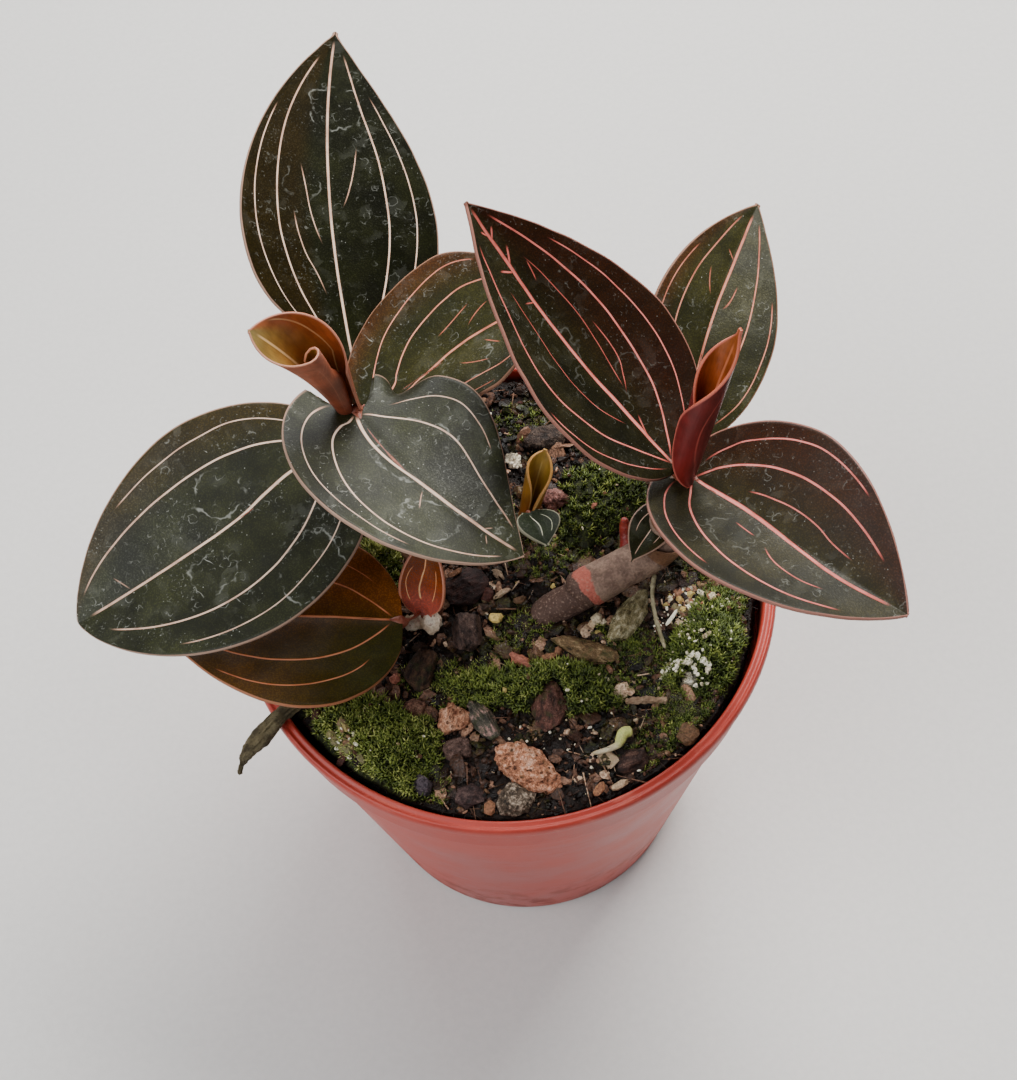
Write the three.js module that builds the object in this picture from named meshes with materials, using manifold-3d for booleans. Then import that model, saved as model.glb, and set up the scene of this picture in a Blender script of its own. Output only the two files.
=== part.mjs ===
// A jewel orchid growing in a nursery pot of bark mix, with chips, stones and moss on the soil.
// Millimetres, +Z up. The origin is the middle of the pot's underside.
import * as THREE from 'three';
import { mergeVertices } from 'three/addons/utils/BufferGeometryUtils.js';
import loadManifold from 'manifold-3d';

// ---- driving dimensions -------------------------------------------------------------------

const POT = {
  rimRadius: 45,
  height: 80,
  baseRadius: 31,
  wall: 1.1,
  lipWidth: 2.2,
  lipDrop: 2.6,
  collarHeight: 10,
  collarStep: 1.1,
  floor: 1.2,
  hubRadius: 9,
  channelRise: 2.5,
  channelWidth: 15,
  slope: 2,
  holes: 6,
  holeRadius: 2.5,
  sides: 36,
};
const GAP = 0.3; // between a piece and what it rests on or passes through
const SOIL = {
  level: 75.6,
  crown: 1.2,
  backRise: 2.4,
  reach: 41,
  rings: 11,
  lumps: 90,
  lumpRadius: 5,
  lumpHeight: 1.7,
};
const LEAF = {
  thickness: 0.8,
  rows: 10,
  columns: 6,
  stalkRows: 2,
  stalkHalfWidth: 1.3,
  tipHalfWidth: 0.3,
  neckShare: 0.022,
  stalkBend: 0.25,
};
const SCROLL = { thickness: 0.7, rows: 12, columns: 12, lap: 1.25, mostTurn: 3.6, flare: 1.5 };
const STEM_SIDES = 10;
const SHOOT = { sides: 7, steps: 5 };
const MOSS_FOOT = 3;
const UP = new THREE.Vector3(0, 0, 1);

// ---- colours ------------------------------------------------------------------------------

function finish(color, roughness) {
  return new THREE.MeshStandardMaterial({ color, roughness, metalness: 0 });
}

const FINISHES = {
  pot: finish('#b8614c', 0.5),
  soil: finish('#2b201a', 0.95),
  moss: finish('#4f6b22', 0.95),
  leaf: finish('#30342a', 0.6),
  brownLeaf: finish('#4a3018', 0.55),
  newLeaf: finish('#a5573a', 0.5),
  maroonLeaf: finish('#6a2a2c', 0.5),
  ochreLeaf: finish('#a9791f', 0.5),
  stem: finish('#7a6158', 0.7),
  root: finish('#d8cdb4', 0.8),
  sprout: finish('#c3cf8a', 0.6),
  bark: finish('#3d2a24', 0.9),
  clay: finish('#b5714f', 0.9),
  stone: finish('#6d615f', 0.85),
  perlite: finish('#e2ddd0', 0.9),
};

// ---- solids -------------------------------------------------------------------------------

const manifold = await loadManifold();
manifold.setup();

/** A repeatable draw between 0 and 1. */
function seededDraw(seed) {
  let state = seed >>> 0;
  return () => {
    state = (state + 0x6d2b79f5) >>> 0;
    let mixed = Math.imul(state ^ (state >>> 15), 1 | state);
    mixed = (mixed + Math.imul(mixed ^ (mixed >>> 7), 61 | mixed)) ^ mixed;
    return ((mixed ^ (mixed >>> 14)) >>> 0) / 4294967296;
  };
}

function bare(geometry) {
  const copy = geometry.clone();
  copy.deleteAttribute('normal');
  copy.deleteAttribute('uv');
  return mergeVertices(copy, 1e-4);
}

/** A closed geometry as a solid, turned so that its faces point out. */
function solidOf(geometry) {
  const merged = bare(geometry);
  const vertProperties = Float32Array.from(merged.attributes.position.array);
  const triVerts = Uint32Array.from(merged.index.array);
  const solid = new manifold.Manifold(new manifold.Mesh({ numProp: 3, vertProperties, triVerts }));
  if (solid.volume() > 0) {
    return solid;
  }
  triVerts.reverse();
  return new manifold.Manifold(new manifold.Mesh({ numProp: 3, vertProperties, triVerts }));
}

function geometryOf(solid) {
  const mesh = solid.getMesh();
  const geometry = new THREE.BufferGeometry();
  geometry.setAttribute('position', new THREE.BufferAttribute(Float32Array.from(mesh.vertProperties), 3));
  geometry.setIndex(new THREE.BufferAttribute(Uint32Array.from(mesh.triVerts), 1));
  geometry.computeVertexNormals();
  return geometry;
}

/** The largest body of a solid: a cut may leave small scraps beside it. */
function mainBody(solid) {
  const bodies = solid.decompose();
  return bodies.reduce((best, body) => (body.volume() > best.volume() ? body : best));
}

function cut(solid, tools) {
  const left = tools.reduce((rest, tool) => rest.subtract(tool), solid);
  return mainBody(left.simplify(0.03));
}

/** A closed sheet of even thickness round a grid, with both faces split into triangles alike. */
function thicken(sheet, thickness) {
  sheet.computeVertexNormals();
  const place = sheet.attributes.position;
  const normal = sheet.attributes.normal;
  const count = place.count;
  const positions = [];
  for (const side of [0.5, -0.5]) {
    for (let i = 0; i < count; i += 1) {
      positions.push(
        place.getX(i) + normal.getX(i) * side * thickness,
        place.getY(i) + normal.getY(i) * side * thickness,
        place.getZ(i) + normal.getZ(i) * side * thickness,
      );
    }
  }
  const triangles = Array.from(sheet.index.array);
  const edges = new Map();
  const faces = [];
  for (let i = 0; i < triangles.length; i += 3) {
    const corner = triangles.slice(i, i + 3);
    faces.push(...corner, corner[2] + count, corner[1] + count, corner[0] + count);
    corner.forEach((from, k) => edges.set(`${from},${corner[(k + 1) % 3]}`, [from, corner[(k + 1) % 3]]));
  }
  for (const [from, to] of edges.values()) {
    if (!edges.has(`${to},${from}`)) {
      faces.push(to, from, from + count, to, from + count, to + count);
    }
  }
  const closed = new THREE.BufferGeometry();
  closed.setAttribute('position', new THREE.Float32BufferAttribute(positions, 3));
  closed.setIndex(faces);
  return closed;
}

/** A closed round rod through points [x, y, z, radius], with rounded ends. */
function rod(points, sides, steps) {
  const path = new THREE.CatmullRomCurve3(points.map(([x, y, z]) => new THREE.Vector3(x, y, z)));
  const girth = new THREE.CatmullRomCurve3(points.map(([, , , radius]) => new THREE.Vector3(radius, 0, 0)));
  const shape = new THREE.CylinderGeometry(1, 1, 1, sides, steps);
  const frames = path.computeFrenetFrames(steps);
  const place = shape.attributes.position;
  for (let i = 0; i < place.count; i += 1) {
    const step = Math.round((place.getY(i) + 0.5) * steps);
    const end = step === 0 || step === steps ? 0.6 : 1;
    const radius = girth.getPoint(path.getUtoTmapping(step / steps)).x * end;
    const point = path.getPointAt(step / steps);
    point.addScaledVector(frames.normals[step], place.getX(i) * radius);
    point.addScaledVector(frames.binormals[step], place.getZ(i) * radius);
    place.setXYZ(i, point.x, point.y, point.z);
  }
  return shape;
}

function grown(points, extra) {
  return points.map(([x, y, z, radius]) => [x, y, z, radius + extra]);
}

// ---- pot ----------------------------------------------------------------------------------

const POT_INNER = POT.rimRadius - POT.lipWidth;
const POT_COLLAR = POT.height - POT.collarHeight;
const SOIL_BRIM = POT_INNER - 1;

/** Outer radius of the tapered wall below the collar. */
function potWallRadius(z) {
  const neck = POT_INNER + POT.wall - POT.collarStep;
  return POT.baseRadius + (neck - POT.baseRadius) * (z / POT_COLLAR);
}

function buildPot() {
  const { rimRadius, height, baseRadius, wall, floor, hubRadius, channelRise, slope } = POT;
  const channelEnd = hubRadius + slope + POT.channelWidth;
  const collar = POT_COLLAR;
  const inner = POT_INNER;
  const skirt = inner + wall;
  const lip = height - POT.lipDrop;
  const outline = [
    [0, 0], [hubRadius, 0], [hubRadius + slope, channelRise], [channelEnd, channelRise],
    [channelEnd + slope, 0], [baseRadius - 0.8, 0], [baseRadius, 0.8],
    [potWallRadius(collar - 1), collar - 1], [skirt - 0.3, collar], [skirt, lip],
    [rimRadius - 0.5, lip + 0.1], [rimRadius, lip + 0.7], [rimRadius, height - 0.6],
    [rimRadius - 0.5, height],
    [rimRadius - 1, height - 0.3], [inner + 0.4, height], [inner, height - 0.5],
    [inner - 0.3, collar + 0.4], [potWallRadius(collar - 1) - wall, collar - 1],
    [potWallRadius(floor) - wall, floor + 1], [baseRadius - wall - 0.9, floor],
    [channelEnd + slope + 0.5, floor], [channelEnd + 0.5, channelRise + floor],
    [hubRadius + slope - 0.5, channelRise + floor],
    [hubRadius - 0.5, floor], [0, floor],
  ];
  const shell = new THREE.LatheGeometry(outline.map(([r, z]) => new THREE.Vector2(r, z)), POT.sides);
  shell.rotateX(Math.PI / 2);
  const drills = [];
  for (let i = 0; i < POT.holes; i += 1) {
    const turn = ((i + 0.5) / POT.holes) * 2 * Math.PI;
    const reach = (hubRadius + channelEnd + slope) / 2;
    const drill = new THREE.CylinderGeometry(POT.holeRadius, POT.holeRadius, 8, 12);
    drill.rotateX(Math.PI / 2);
    drill.translate(Math.cos(turn) * reach, Math.sin(turn) * reach, channelRise);
    drills.push(solidOf(drill));
  }
  return cut(solidOf(shell), drills);
}

// ---- soil ---------------------------------------------------------------------------------

const drawSoil = seededDraw(7);
const soilLumps = Array.from({ length: SOIL.lumps }, () => {
  const turn = drawSoil() * 2 * Math.PI;
  const reach = Math.sqrt(drawSoil()) * SOIL.reach;
  const radius = SOIL.lumpRadius * (0.5 + 0.9 * drawSoil());
  return [Math.cos(turn) * reach, Math.sin(turn) * reach, radius, SOIL.lumpHeight * (drawSoil() - 0.35)];
});

/** Height of the soil's lumpy face. */
function soilHeight(x, y) {
  const out = Math.min(1, Math.hypot(x, y) / SOIL.reach);
  const back = Math.max(0, y / SOIL.reach);
  let z = SOIL.level + SOIL.crown * (1 - out * out) + SOIL.backRise * back * back;
  for (const [lumpX, lumpY, radius, height] of soilLumps) {
    const near = 1 - ((x - lumpX) ** 2 + (y - lumpY) ** 2) / radius ** 2;
    if (near > 0) {
      z += height * near * near;
    }
  }
  return z;
}

function buildSoil(holes) {
  const bottom = POT.channelRise + POT.floor + GAP;
  const inside = (z) => potWallRadius(z) - POT.wall - GAP - 0.1;
  const shoulder = POT_COLLAR - 3;
  const outline = [
    [0, bottom], [inside(bottom) - 0.4, bottom], [inside(shoulder), shoulder], [SOIL_BRIM, SOIL.level],
  ];
  for (let ring = SOIL.rings - 1; ring >= 0; ring -= 1) {
    outline.push([(SOIL_BRIM * ring) / SOIL.rings, SOIL.level]);
  }
  const body = new THREE.LatheGeometry(outline.map(([r, z]) => new THREE.Vector2(r, z)), POT.sides);
  body.rotateX(Math.PI / 2);
  const place = body.attributes.position;
  for (let i = 0; i < place.count; i += 1) {
    if (place.getZ(i) > SOIL.level - 0.01) {
      place.setZ(i, soilHeight(place.getX(i), place.getY(i)));
    }
  }
  return cut(solidOf(body), holes);
}

// ---- leaves -------------------------------------------------------------------------------

const radians = THREE.MathUtils.degToRad;

/** Half width of a blade as a share of its greatest, s running from its base to its tip. */
function outlineShare(leaf, s) {
  if (s < leaf.widest) {
    return Math.sqrt(1 - (1 - s / leaf.widest) ** 2);
  }
  return Math.max(0, 1 - ((s - leaf.widest) / (1 - leaf.widest)) ** 1.8) ** leaf.taper;
}

/** Directions at s on the midrib: along it, across to the left, and up out of the blade. */
function midribFrame(leaf, s) {
  const heading = radians(leaf.heading + leaf.sway * (s - 0.5));
  const pitch = radians(leaf.pitch - leaf.droop * s);
  const along = new THREE.Vector3(
    Math.cos(heading) * Math.cos(pitch), Math.sin(heading) * Math.cos(pitch), Math.sin(pitch),
  );
  const level = new THREE.Vector3(-Math.sin(heading), Math.cos(heading), 0);
  const across = level.clone().applyAxisAngle(along, radians(leaf.roll));
  return { along, across, up: along.clone().cross(across) };
}

function growMidrib(leaf) {
  const steps = 48;
  const points = [new THREE.Vector3(...leaf.base)];
  for (let step = 1; step <= steps; step += 1) {
    const { along } = midribFrame(leaf, (step - 0.5) / steps);
    points.push(points[step - 1].clone().addScaledVector(along, leaf.length / steps));
  }
  return new THREE.CatmullRomCurve3(points);
}

/** A point across a strip that is bent to a radius and folded at its midrib. */
function acrossStrip(centre, frame, reach, half, radius, fold) {
  const turn = reach / radius;
  const share = reach / half;
  const crease = Math.tan(radians(fold)) * (Math.hypot(share, 0.1) - 0.1) * half;
  return centre.clone()
    .addScaledVector(frame.across, radius * Math.sin(turn))
    .addScaledVector(frame.up, radius * (1 - Math.cos(turn)) + crease);
}

/** How far the ruffles lift the margin and draw it in: each is { side, at, span, lift, tuck }. */
function ruffleMove(leaf, s, u) {
  const move = { lift: 0, tuck: 0 };
  for (const { side, at, span, lift, tuck = 0 } of leaf.ruffles || []) {
    const strength = u * side > 0 ? Math.abs(u) ** 3 * Math.exp(-(((s - at) / span) ** 2)) : 0;
    move.lift += lift * strength;
    move.tuck += tuck * strength;
  }
  return move;
}

function bladePoint(leaf, midrib, s, u) {
  const frame = midribFrame(leaf, s);
  const half = Math.max(
    leaf.halfWidth * outlineShare(leaf, s),
    LEAF.stalkHalfWidth * (1 - s) + LEAF.tipHalfWidth,
  ) * (1 + leaf.uneven * Math.sign(u)) + leaf.room;
  const { lift, tuck } = ruffleMove(leaf, s, u);
  const reach = u * half - tuck * Math.sign(u);
  const point = acrossStrip(midrib.getPoint(s), frame, reach, half, leaf.cup, leaf.fold);
  const lobe = (u > 0 ? leaf.lobes[0] : leaf.lobes[1]) * Math.min(1, s / LEAF.neckShare);
  point.addScaledVector(frame.along, -lobe * (1 - s) ** 4 * Math.abs(u) ** 1.5);
  return point.addScaledVector(frame.up, lift);
}

/** The stalk runs from inside the stem to the blade's base, as a channel that clasps the stem. */
function stalkPoint(leaf, t, u) {
  const start = midribFrame(leaf, 0);
  const base = new THREE.Vector3(...leaf.base);
  const foot = new THREE.Vector3(...leaf.foot);
  const bend = base.clone().addScaledVector(start.along, -LEAF.stalkBend * foot.distanceTo(base));
  const path = new THREE.QuadraticBezierCurve3(foot, bend, base);
  const along = path.getTangent(t);
  const across = start.across.clone().addScaledVector(along, -start.across.dot(along)).normalize();
  const frame = { along, across, up: along.clone().cross(across) };
  const half = LEAF.stalkHalfWidth + LEAF.tipHalfWidth + 0.5 * (1 - t) + leaf.room;
  return acrossStrip(path.getPoint(t), frame, u * half, half, 2.5 + 12 * t, leaf.fold * t);
}

function leafSheet(leaf) {
  const rows = leaf.rows || LEAF.rows;
  const all = rows + LEAF.stalkRows;
  const sheet = new THREE.PlaneGeometry(2, 1, leaf.columns || LEAF.columns, all);
  const midrib = growMidrib(leaf);
  const place = sheet.attributes.position;
  for (let i = 0; i < place.count; i += 1) {
    const row = Math.round((place.getY(i) + 0.5) * all) - LEAF.stalkRows;
    const u = -place.getX(i);
    const s = 1 - Math.cos(((row / rows) * Math.PI) / 2);
    const point = row < 0 ? stalkPoint(leaf, 1 + row / LEAF.stalkRows, u) : bladePoint(leaf, midrib, s, u);
    place.setXYZ(i, point.x, point.y, point.z);
  }
  return sheet;
}

const PLAIN_LEAF = { look: 'leaf', uneven: 0, lobes: [0, 0], sway: 0, roll: 0, room: 0 };

// Upper leaves come first, because each is cut clear of those before it.
const LEAVES = {
  leaf_left_front: {
    base: [-19.8, 10, 118.2], foot: [-20.2, 10.9, 113], length: 36, halfWidth: 15.8,
    heading: -47.5, sway: 45, pitch: 15, droop: 46, roll: -10.5, fold: 5.5, cup: 85,
    widest: 0.345, taper: 0.94, uneven: 0.05, lobes: [9, 9.4],
    ruffles: [{ side: 1, at: 0.085, span: 0.041, lift: -3.3, tuck: 2.6 }], rows: 17, columns: 8,
  },
  leaf_right_large: {
    base: [27.4, -2.9, 113.1], foot: [28.9, -3, 109.5], length: 51, halfWidth: 16.2,
    heading: 133, sway: -2, pitch: 25.5, droop: -24, roll: 17.5, fold: 14, cup: 600,
    widest: 0.375, taper: 1.01, uneven: -0.05,
  },
  leaf_right_front: {
    base: [29.4, -3.2, 111.1], foot: [28.8, -2.4, 107], length: 40.5, halfWidth: 14.3,
    heading: -49.5, sway: 19, pitch: 21.5, droop: 27, roll: 3.5, fold: 21, cup: 110,
    widest: 0.41, taper: 0.9, uneven: 0.035, lobes: [4, 4],
  },
  leaf_left_middle: {
    base: [-18.7, 17.1, 107.9], foot: [-19.8, 10.9, 108.6], length: 35.3, halfWidth: 15.8,
    heading: 19, sway: -14, pitch: 15.5, droop: -7.5, roll: -11.5, fold: 9.5, cup: 200,
    widest: 0.57, taper: 0.96, uneven: 0.155, lobes: [3, 1],
  },
  leaf_left_tall: {
    base: [-20.7, 25, 105.3], foot: [-19.5, 10.6, 105.2], length: 68, halfWidth: 16.3,
    heading: 89, sway: -13.5, pitch: 28, droop: 32, roll: 17, fold: 7, cup: 110,
    widest: 0.375, taper: 1.15, uneven: -0.03, lobes: [-9, 0],
  },
  leaf_left_large: {
    base: [-23.3, 12.6, 105.8], foot: [-18.2, 8.8, 102.4], length: 50.8, halfWidth: 18.8,
    heading: -156, sway: -11, pitch: -7, droop: 13.5, roll: -11.5, fold: 7, cup: 200,
    widest: 0.43, taper: 0.72, uneven: 0.055, lobes: [2, 1.5],
  },
  leaf_left_low: {
    base: [-17.6, -9, 86], foot: [-13.9, -2.6, 79.5], length: 40.5, halfWidth: 16.6,
    heading: 175.5, sway: -3.5, pitch: 16, droop: 20.5, roll: 5, fold: 5.5, cup: 200,
    widest: 0.38, taper: 1.01, uneven: 0.09, lobes: [0.5, 0.5], look: 'brownLeaf',
  },
  leaf_right_back: {
    base: [29.8, 6.2, 106.2], foot: [28.6, -1.6, 103.5], length: 43.8, halfWidth: 10.5,
    heading: 65.5, sway: -13.5, pitch: 26, droop: 27.5, roll: 21.5, fold: 10, cup: 170,
    widest: 0.42, taper: 1.03, uneven: -0.01,
  },
  leaf_right_small: {
    base: [27.1, 4.1, 89.9], foot: [27.3, 2, 88.5], length: 11.5, halfWidth: 3.6,
    heading: -127, pitch: 19, droop: 40, roll: -2, fold: 9.5, cup: 60,
    widest: 0.42, taper: 1.14, lobes: [2, 2], rows: 6, columns: 4,
  },
  leaf_centre_small: {
    base: [4.9, 8.6, 86], foot: [5, 9.9, 82.6], length: 7.2, halfWidth: 3.8,
    heading: -71.5, pitch: 14, droop: 26.5, roll: -13.5, fold: 11.5, cup: 60,
    widest: 0.42, taper: 1.15, uneven: 0.1, rows: 5, columns: 4,
  },
  bud_leaf_left: {
    base: [-14.3, -6.3, 82.2], foot: [-13.6, -3.6, 79.3], length: 14, halfWidth: 4.2,
    heading: 74, pitch: 62, droop: 10, fold: 4, cup: 5.5,
    widest: 0.42, taper: 0.9, rows: 8, columns: 6, look: 'newLeaf',
  },
};

// ---- rolled young leaves ------------------------------------------------------------------

/** A young leaf rolled lengthways into a scroll that opens towards its tip. */
function scrollPoint(scroll, midrib, s, u) {
  const frame = midribFrame(scroll, s);
  const half = Math.max(
    scroll.halfWidth * outlineShare(scroll, s),
    scroll.neck * (1 - s) + LEAF.tipHalfWidth,
  ) * (1 + scroll.uneven * Math.sign(u)) + scroll.room;
  const radius = scroll.radii[0] + (scroll.radii[1] - scroll.radii[0]) * s ** SCROLL.flare;
  const turn = u * Math.min(half / radius, SCROLL.mostTurn);
  const wound = radius - (SCROLL.lap * turn) / (2 * Math.PI);
  return midrib.getPoint(s)
    .addScaledVector(frame.up, radius - Math.cos(turn) * wound)
    .addScaledVector(frame.across, Math.sin(turn) * wound);
}

function scrollSheet(scroll) {
  const rows = scroll.rows || SCROLL.rows;
  const columns = scroll.columns || SCROLL.columns;
  const sheet = new THREE.PlaneGeometry(2, 1, columns, rows);
  const midrib = growMidrib(scroll);
  const place = sheet.attributes.position;
  for (let i = 0; i < place.count; i += 1) {
    const s = 1 - Math.cos(((place.getY(i) + 0.5) * Math.PI) / 2);
    const point = scrollPoint(scroll, midrib, s, -place.getX(i));
    place.setXYZ(i, point.x, point.y, point.z);
  }
  return sheet;
}

const SCROLLS = {
  rolled_leaf_left: {
    base: [-22.2, 10.9, 116], length: 32, halfWidth: 15.8, heading: 210, sway: -19, pitch: 77.5, droop: 13,
    roll: -28, widest: 0.47, taper: 1.03, uneven: 0.33, neck: 2.6, radii: [2, 5.9], look: 'newLeaf',
  },
  rolled_leaf_right: {
    base: [29.1, -3.8, 111.4], length: 33.5, halfWidth: 7.5, heading: 21.5, sway: 3, pitch: 78.5, droop: -1,
    roll: -9.5, widest: 0.45, taper: 1.32, uneven: 0.09, neck: 2.6, radii: [1.8, 2.75], look: 'maroonLeaf',
  },
  rolled_leaf_centre: {
    base: [4, 10.6, 76.6], length: 18, halfWidth: 5, heading: 50, sway: 10, pitch: 76, droop: 22,
    roll: 12, widest: 0.62, taper: 1.05, uneven: 0.2, neck: 1.8, radii: [1.2, 2.4], look: 'ochreLeaf',
    rows: 10, columns: 10,
  },
};

// ---- stems, roots and sticks --------------------------------------------------------------

// Each point is [x, y, z, radius]. What grows out of a stem starts inside it.
const STEMS = {
  left_stem: {
    points: [
      [-13.5, -8, 68, 2.6], [-13.5, -3.4, 77, 3.1], [-13.1, 1.6, 85, 2.9], [-13.6, 3.4, 88.5, 3.1],
      [-15.2, 6, 95, 2.6], [-17.4, 8.3, 101.5, 2.7], [-19, 9.8, 107, 2.4], [-20.2, 10.8, 112.5, 2.4],
      [-20.6, 11, 115.3, 1.9],
    ],
    steps: 20,
    shoots: [
      [[-14.2, -5.4, 79, 0.9], [-15.8, -6.6, 80.6, 1.05], [-17.1, -7, 82, 0.9]],
      [[-13.5, -5.4, 79, 1.3], [-13.2, -7, 80.6, 1.5], [-13, -7.9, 82, 1.3]],
    ],
  },
  right_stem: {
    points: [
      [-3, -9, 72.5, 3.2], [1.5, -7.4, 74.8, 3.6], [6, -6, 77.2, 3.7], [11.6, -4.6, 79.5, 3.4],
      [13.4, -4.1, 80.4, 4], [18.6, -2.3, 82, 3.6], [23.4, -0.7, 83.6, 3.6], [26.4, 0.6, 87, 3.4],
      [27.4, 0.9, 92, 3], [28, 0, 98, 2.9], [28.6, -1.7, 104, 2.6], [29, -3, 109, 2.4],
      [29.2, -3.6, 111.8, 1.9],
    ],
    steps: 28,
    shoots: [
      [[20.4, 0.2, 82.8, 1.4], [20.6, 3, 84.2, 1.5], [20.5, 4.3, 86.4, 1.3], [20.4, 4.5, 88.8, 0.7]],
    ],
  },
};

const LYING_RODS = {
  twig: {
    points: [
      [-32, -16.6, 79.4, 0.9], [-36.2, -19.9, 81.6, 1.4], [-39, -22.2, 81.7, 1.4], [-42.4, -24.8, 80.6, 1.3],
      [-45, -27.2, 79, 0.9], [-46.2, -28.6, 77, 0.5],
    ],
    sides: 7,
    steps: 9,
    look: 'bark',
  },
  stick: {
    points: [[16.9, -23.6, 77.2, 0.6], [20.4, -24.2, 77.8, 0.75], [23.8, -24.4, 77.7, 0.5]],
    sides: 6,
    steps: 4,
    look: 'bark',
  },
  sprout: {
    points: [
      [10.4, -31.6, 77, 0.5], [12.6, -31.6, 77.9, 0.75], [14.6, -30.6, 78.4, 1], [16.4, -29.4, 78.6, 1.4],
      [17.4, -28.8, 78.8, 1.1],
    ],
    sides: 8,
    steps: 8,
    look: 'sprout',
  },
  thin_root: {
    points: [
      [24.6, -2.6, 80.9, 0.5], [23.9, -6.6, 80.4, 0.45], [23.6, -11.5, 79.6, 0.45], [24.6, -15.6, 78.9, 0.4],
    ],
    sides: 6,
    steps: 8,
    look: 'root',
  },
};

// ---- loose pieces on the soil ---------------------------------------------------------------

/** A broken lump: a faceted ball with its corners moved at random, stretched to its size. */
function brokenLump({ size, turn, tilt = 0, seed, fine }) {
  const ball = bare(new THREE.IcosahedronGeometry(0.5, fine ? 1 : 0));
  const draw = seededDraw(seed);
  const place = ball.attributes.position;
  for (let i = 0; i < place.count; i += 1) {
    const swell = 1 + 0.3 * (draw() - 0.4);
    place.setXYZ(i, place.getX(i) * swell, place.getY(i) * swell, place.getZ(i) * (0.9 + 0.2 * draw()));
  }
  ball.scale(...size);
  ball.rotateX(radians(tilt));
  ball.rotateZ(radians(turn));
  return ball;
}

// Each lies with its middle at a place on the soil, turned about +Z; a fine one has more facets.
const LUMPS = {
  bark_oval: { at: [-15.6, -14.4], size: [8, 6, 4], turn: 65, look: 'bark', fine: true },
  bark_block: { at: [-7.6, -8], size: [8, 6.4, 4.5], turn: 100, look: 'bark', fine: true },
  bark_dark: { at: [-7, 0.4], size: [8.5, 7, 4], turn: 20, look: 'bark', fine: true },
  bark_red: { at: [4.6, -23], size: [9.5, 5.6, 4], turn: 78, look: 'bark', fine: true },
  bark_mossy: { at: [19.6, -8.2], size: [12, 4.6, 3.4], turn: 52, tilt: 18, look: 'bark', fine: true },
  bark_long: { at: [11.6, -13.4], size: [13, 4, 3], turn: -24, look: 'bark', fine: true },
  bark_back: { at: [9.4, 28.4], size: [8, 5, 4], turn: 10, look: 'stone', fine: true },
  bark_right: { at: [17, -34], size: [7, 4.6, 3.4], turn: 30, look: 'bark' },
  bark_rim: { at: [-28.6, -28.4], size: [7.5, 3, 3], turn: -60, look: 'bark' },
  bark_corner: { at: [-34.2, -21.4], size: [5, 3.6, 3.6], turn: 20, look: 'bark' },
  clay_round: { at: [-17.2, -20.8], size: [4.8, 4.6, 4], turn: 0, look: 'clay' },
  clay_rough: { at: [-11.2, -23.4], size: [5.8, 5, 4.4], turn: 30, look: 'clay', fine: true },
  clay_large: { at: [-0.2, -33], size: [11.5, 6.6, 6], turn: -38, look: 'clay', fine: true },
  clay_small: { at: [0.9, -14.6], size: [4.6, 3, 2.8], turn: -45, look: 'clay' },
  clay_back: { at: [9.8, 15.6], size: [5.4, 4.8, 4], turn: -20, look: 'clay' },
  stone_leaning: { at: [-6.3, -24.2], size: [8.6, 4, 4], turn: 118, look: 'stone', fine: true },
  stone_flat: { at: [-11, -28.4], size: [6, 4, 3.2], turn: 8, look: 'stone' },
  stone_grey: { at: [-2.4, -38.2], size: [6.4, 6, 4.4], turn: 40, look: 'stone', fine: true },
  stone_brown: { at: [-9.5, -37], size: [5.6, 5, 3.8], turn: 15, look: 'stone' },
  stone_purple: { at: [-16.8, -34.4], size: [4.6, 4, 3.4], turn: 60, look: 'stone' },
  perlite_back: { at: [3.5, 24.3], size: [3.6, 3.4, 3], turn: 10, look: 'perlite' },
  perlite_right: { at: [28, -20.6], size: [4.4, 3.8, 3.4], turn: 30, look: 'perlite' },
};

/** A moss cushion: a low dome with a lobed outline and a bumpy top, its foot sunk under the soil. */
function mossCushion({ at, reach, turn, height, seed }) {
  const draw = seededDraw(seed);
  const phase = [draw(), draw(), draw()].map((share) => share * 2 * Math.PI);
  const rings = [[0, 1], [0.3, 0.98], [0.58, 0.84], [0.82, 0.52], [1, 0], [1, -MOSS_FOOT], [0, -MOSS_FOOT]];
  const dome = new THREE.LatheGeometry(rings.map(([r, z]) => new THREE.Vector2(r, z)), 18);
  dome.rotateX(Math.PI / 2);
  const place = dome.attributes.position;
  const point = new THREE.Vector3();
  for (let i = 0; i < place.count; i += 1) {
    point.fromBufferAttribute(place, i);
    const around = Math.atan2(point.y, point.x);
    const lobed = 1 + 0.13 * Math.sin(3 * around + phase[0]) + 0.07 * Math.sin(7 * around + phase[1]);
    point.x *= reach[0] * lobed;
    point.y *= reach[1] * lobed;
    point.applyAxisAngle(UP, radians(turn));
    const x = at[0] + point.x;
    const y = at[1] + point.y;
    const bump = 0.5 * Math.sin(x * 0.9 + phase[2]) * Math.cos(y * 0.8);
    const rise = point.z > 0 ? point.z * (height + bump) : point.z;
    place.setXYZ(i, x, y, soilHeight(x, y) + rise);
  }
  return dome;
}

const MOSS = {
  moss_front_left: { at: [-25, -25.5], reach: [14, 8.4], turn: -36, height: 2.9, seed: 3 },
  moss_front: { at: [3.2, -19.6], reach: [14.5, 4.6], turn: -8, height: 2.2, seed: 5 },
  moss_right: { at: [32.2, -15.6], reach: [10.5, 6.6], turn: 68, height: 2.9, seed: 8 },
  moss_back: { at: [17.6, 14], reach: [9.5, 7], turn: 40, height: 2.6, seed: 13 },
  moss_left: { at: [-23.5, 4.5], reach: [9, 6], turn: 70, height: 2.4, seed: 21 },
};

// ---- assembly -----------------------------------------------------------------------------

const plant = new THREE.Group();

function add(name, solid, look) {
  const mesh = new THREE.Mesh(geometryOf(solid), FINISHES[look]);
  mesh.name = name;
  plant.add(mesh);
}

/** The sizes of a leaf whose margin lies GAP further out all round. */
function roomier(leaf) {
  return { ...leaf, room: GAP, length: leaf.length + GAP };
}

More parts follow.
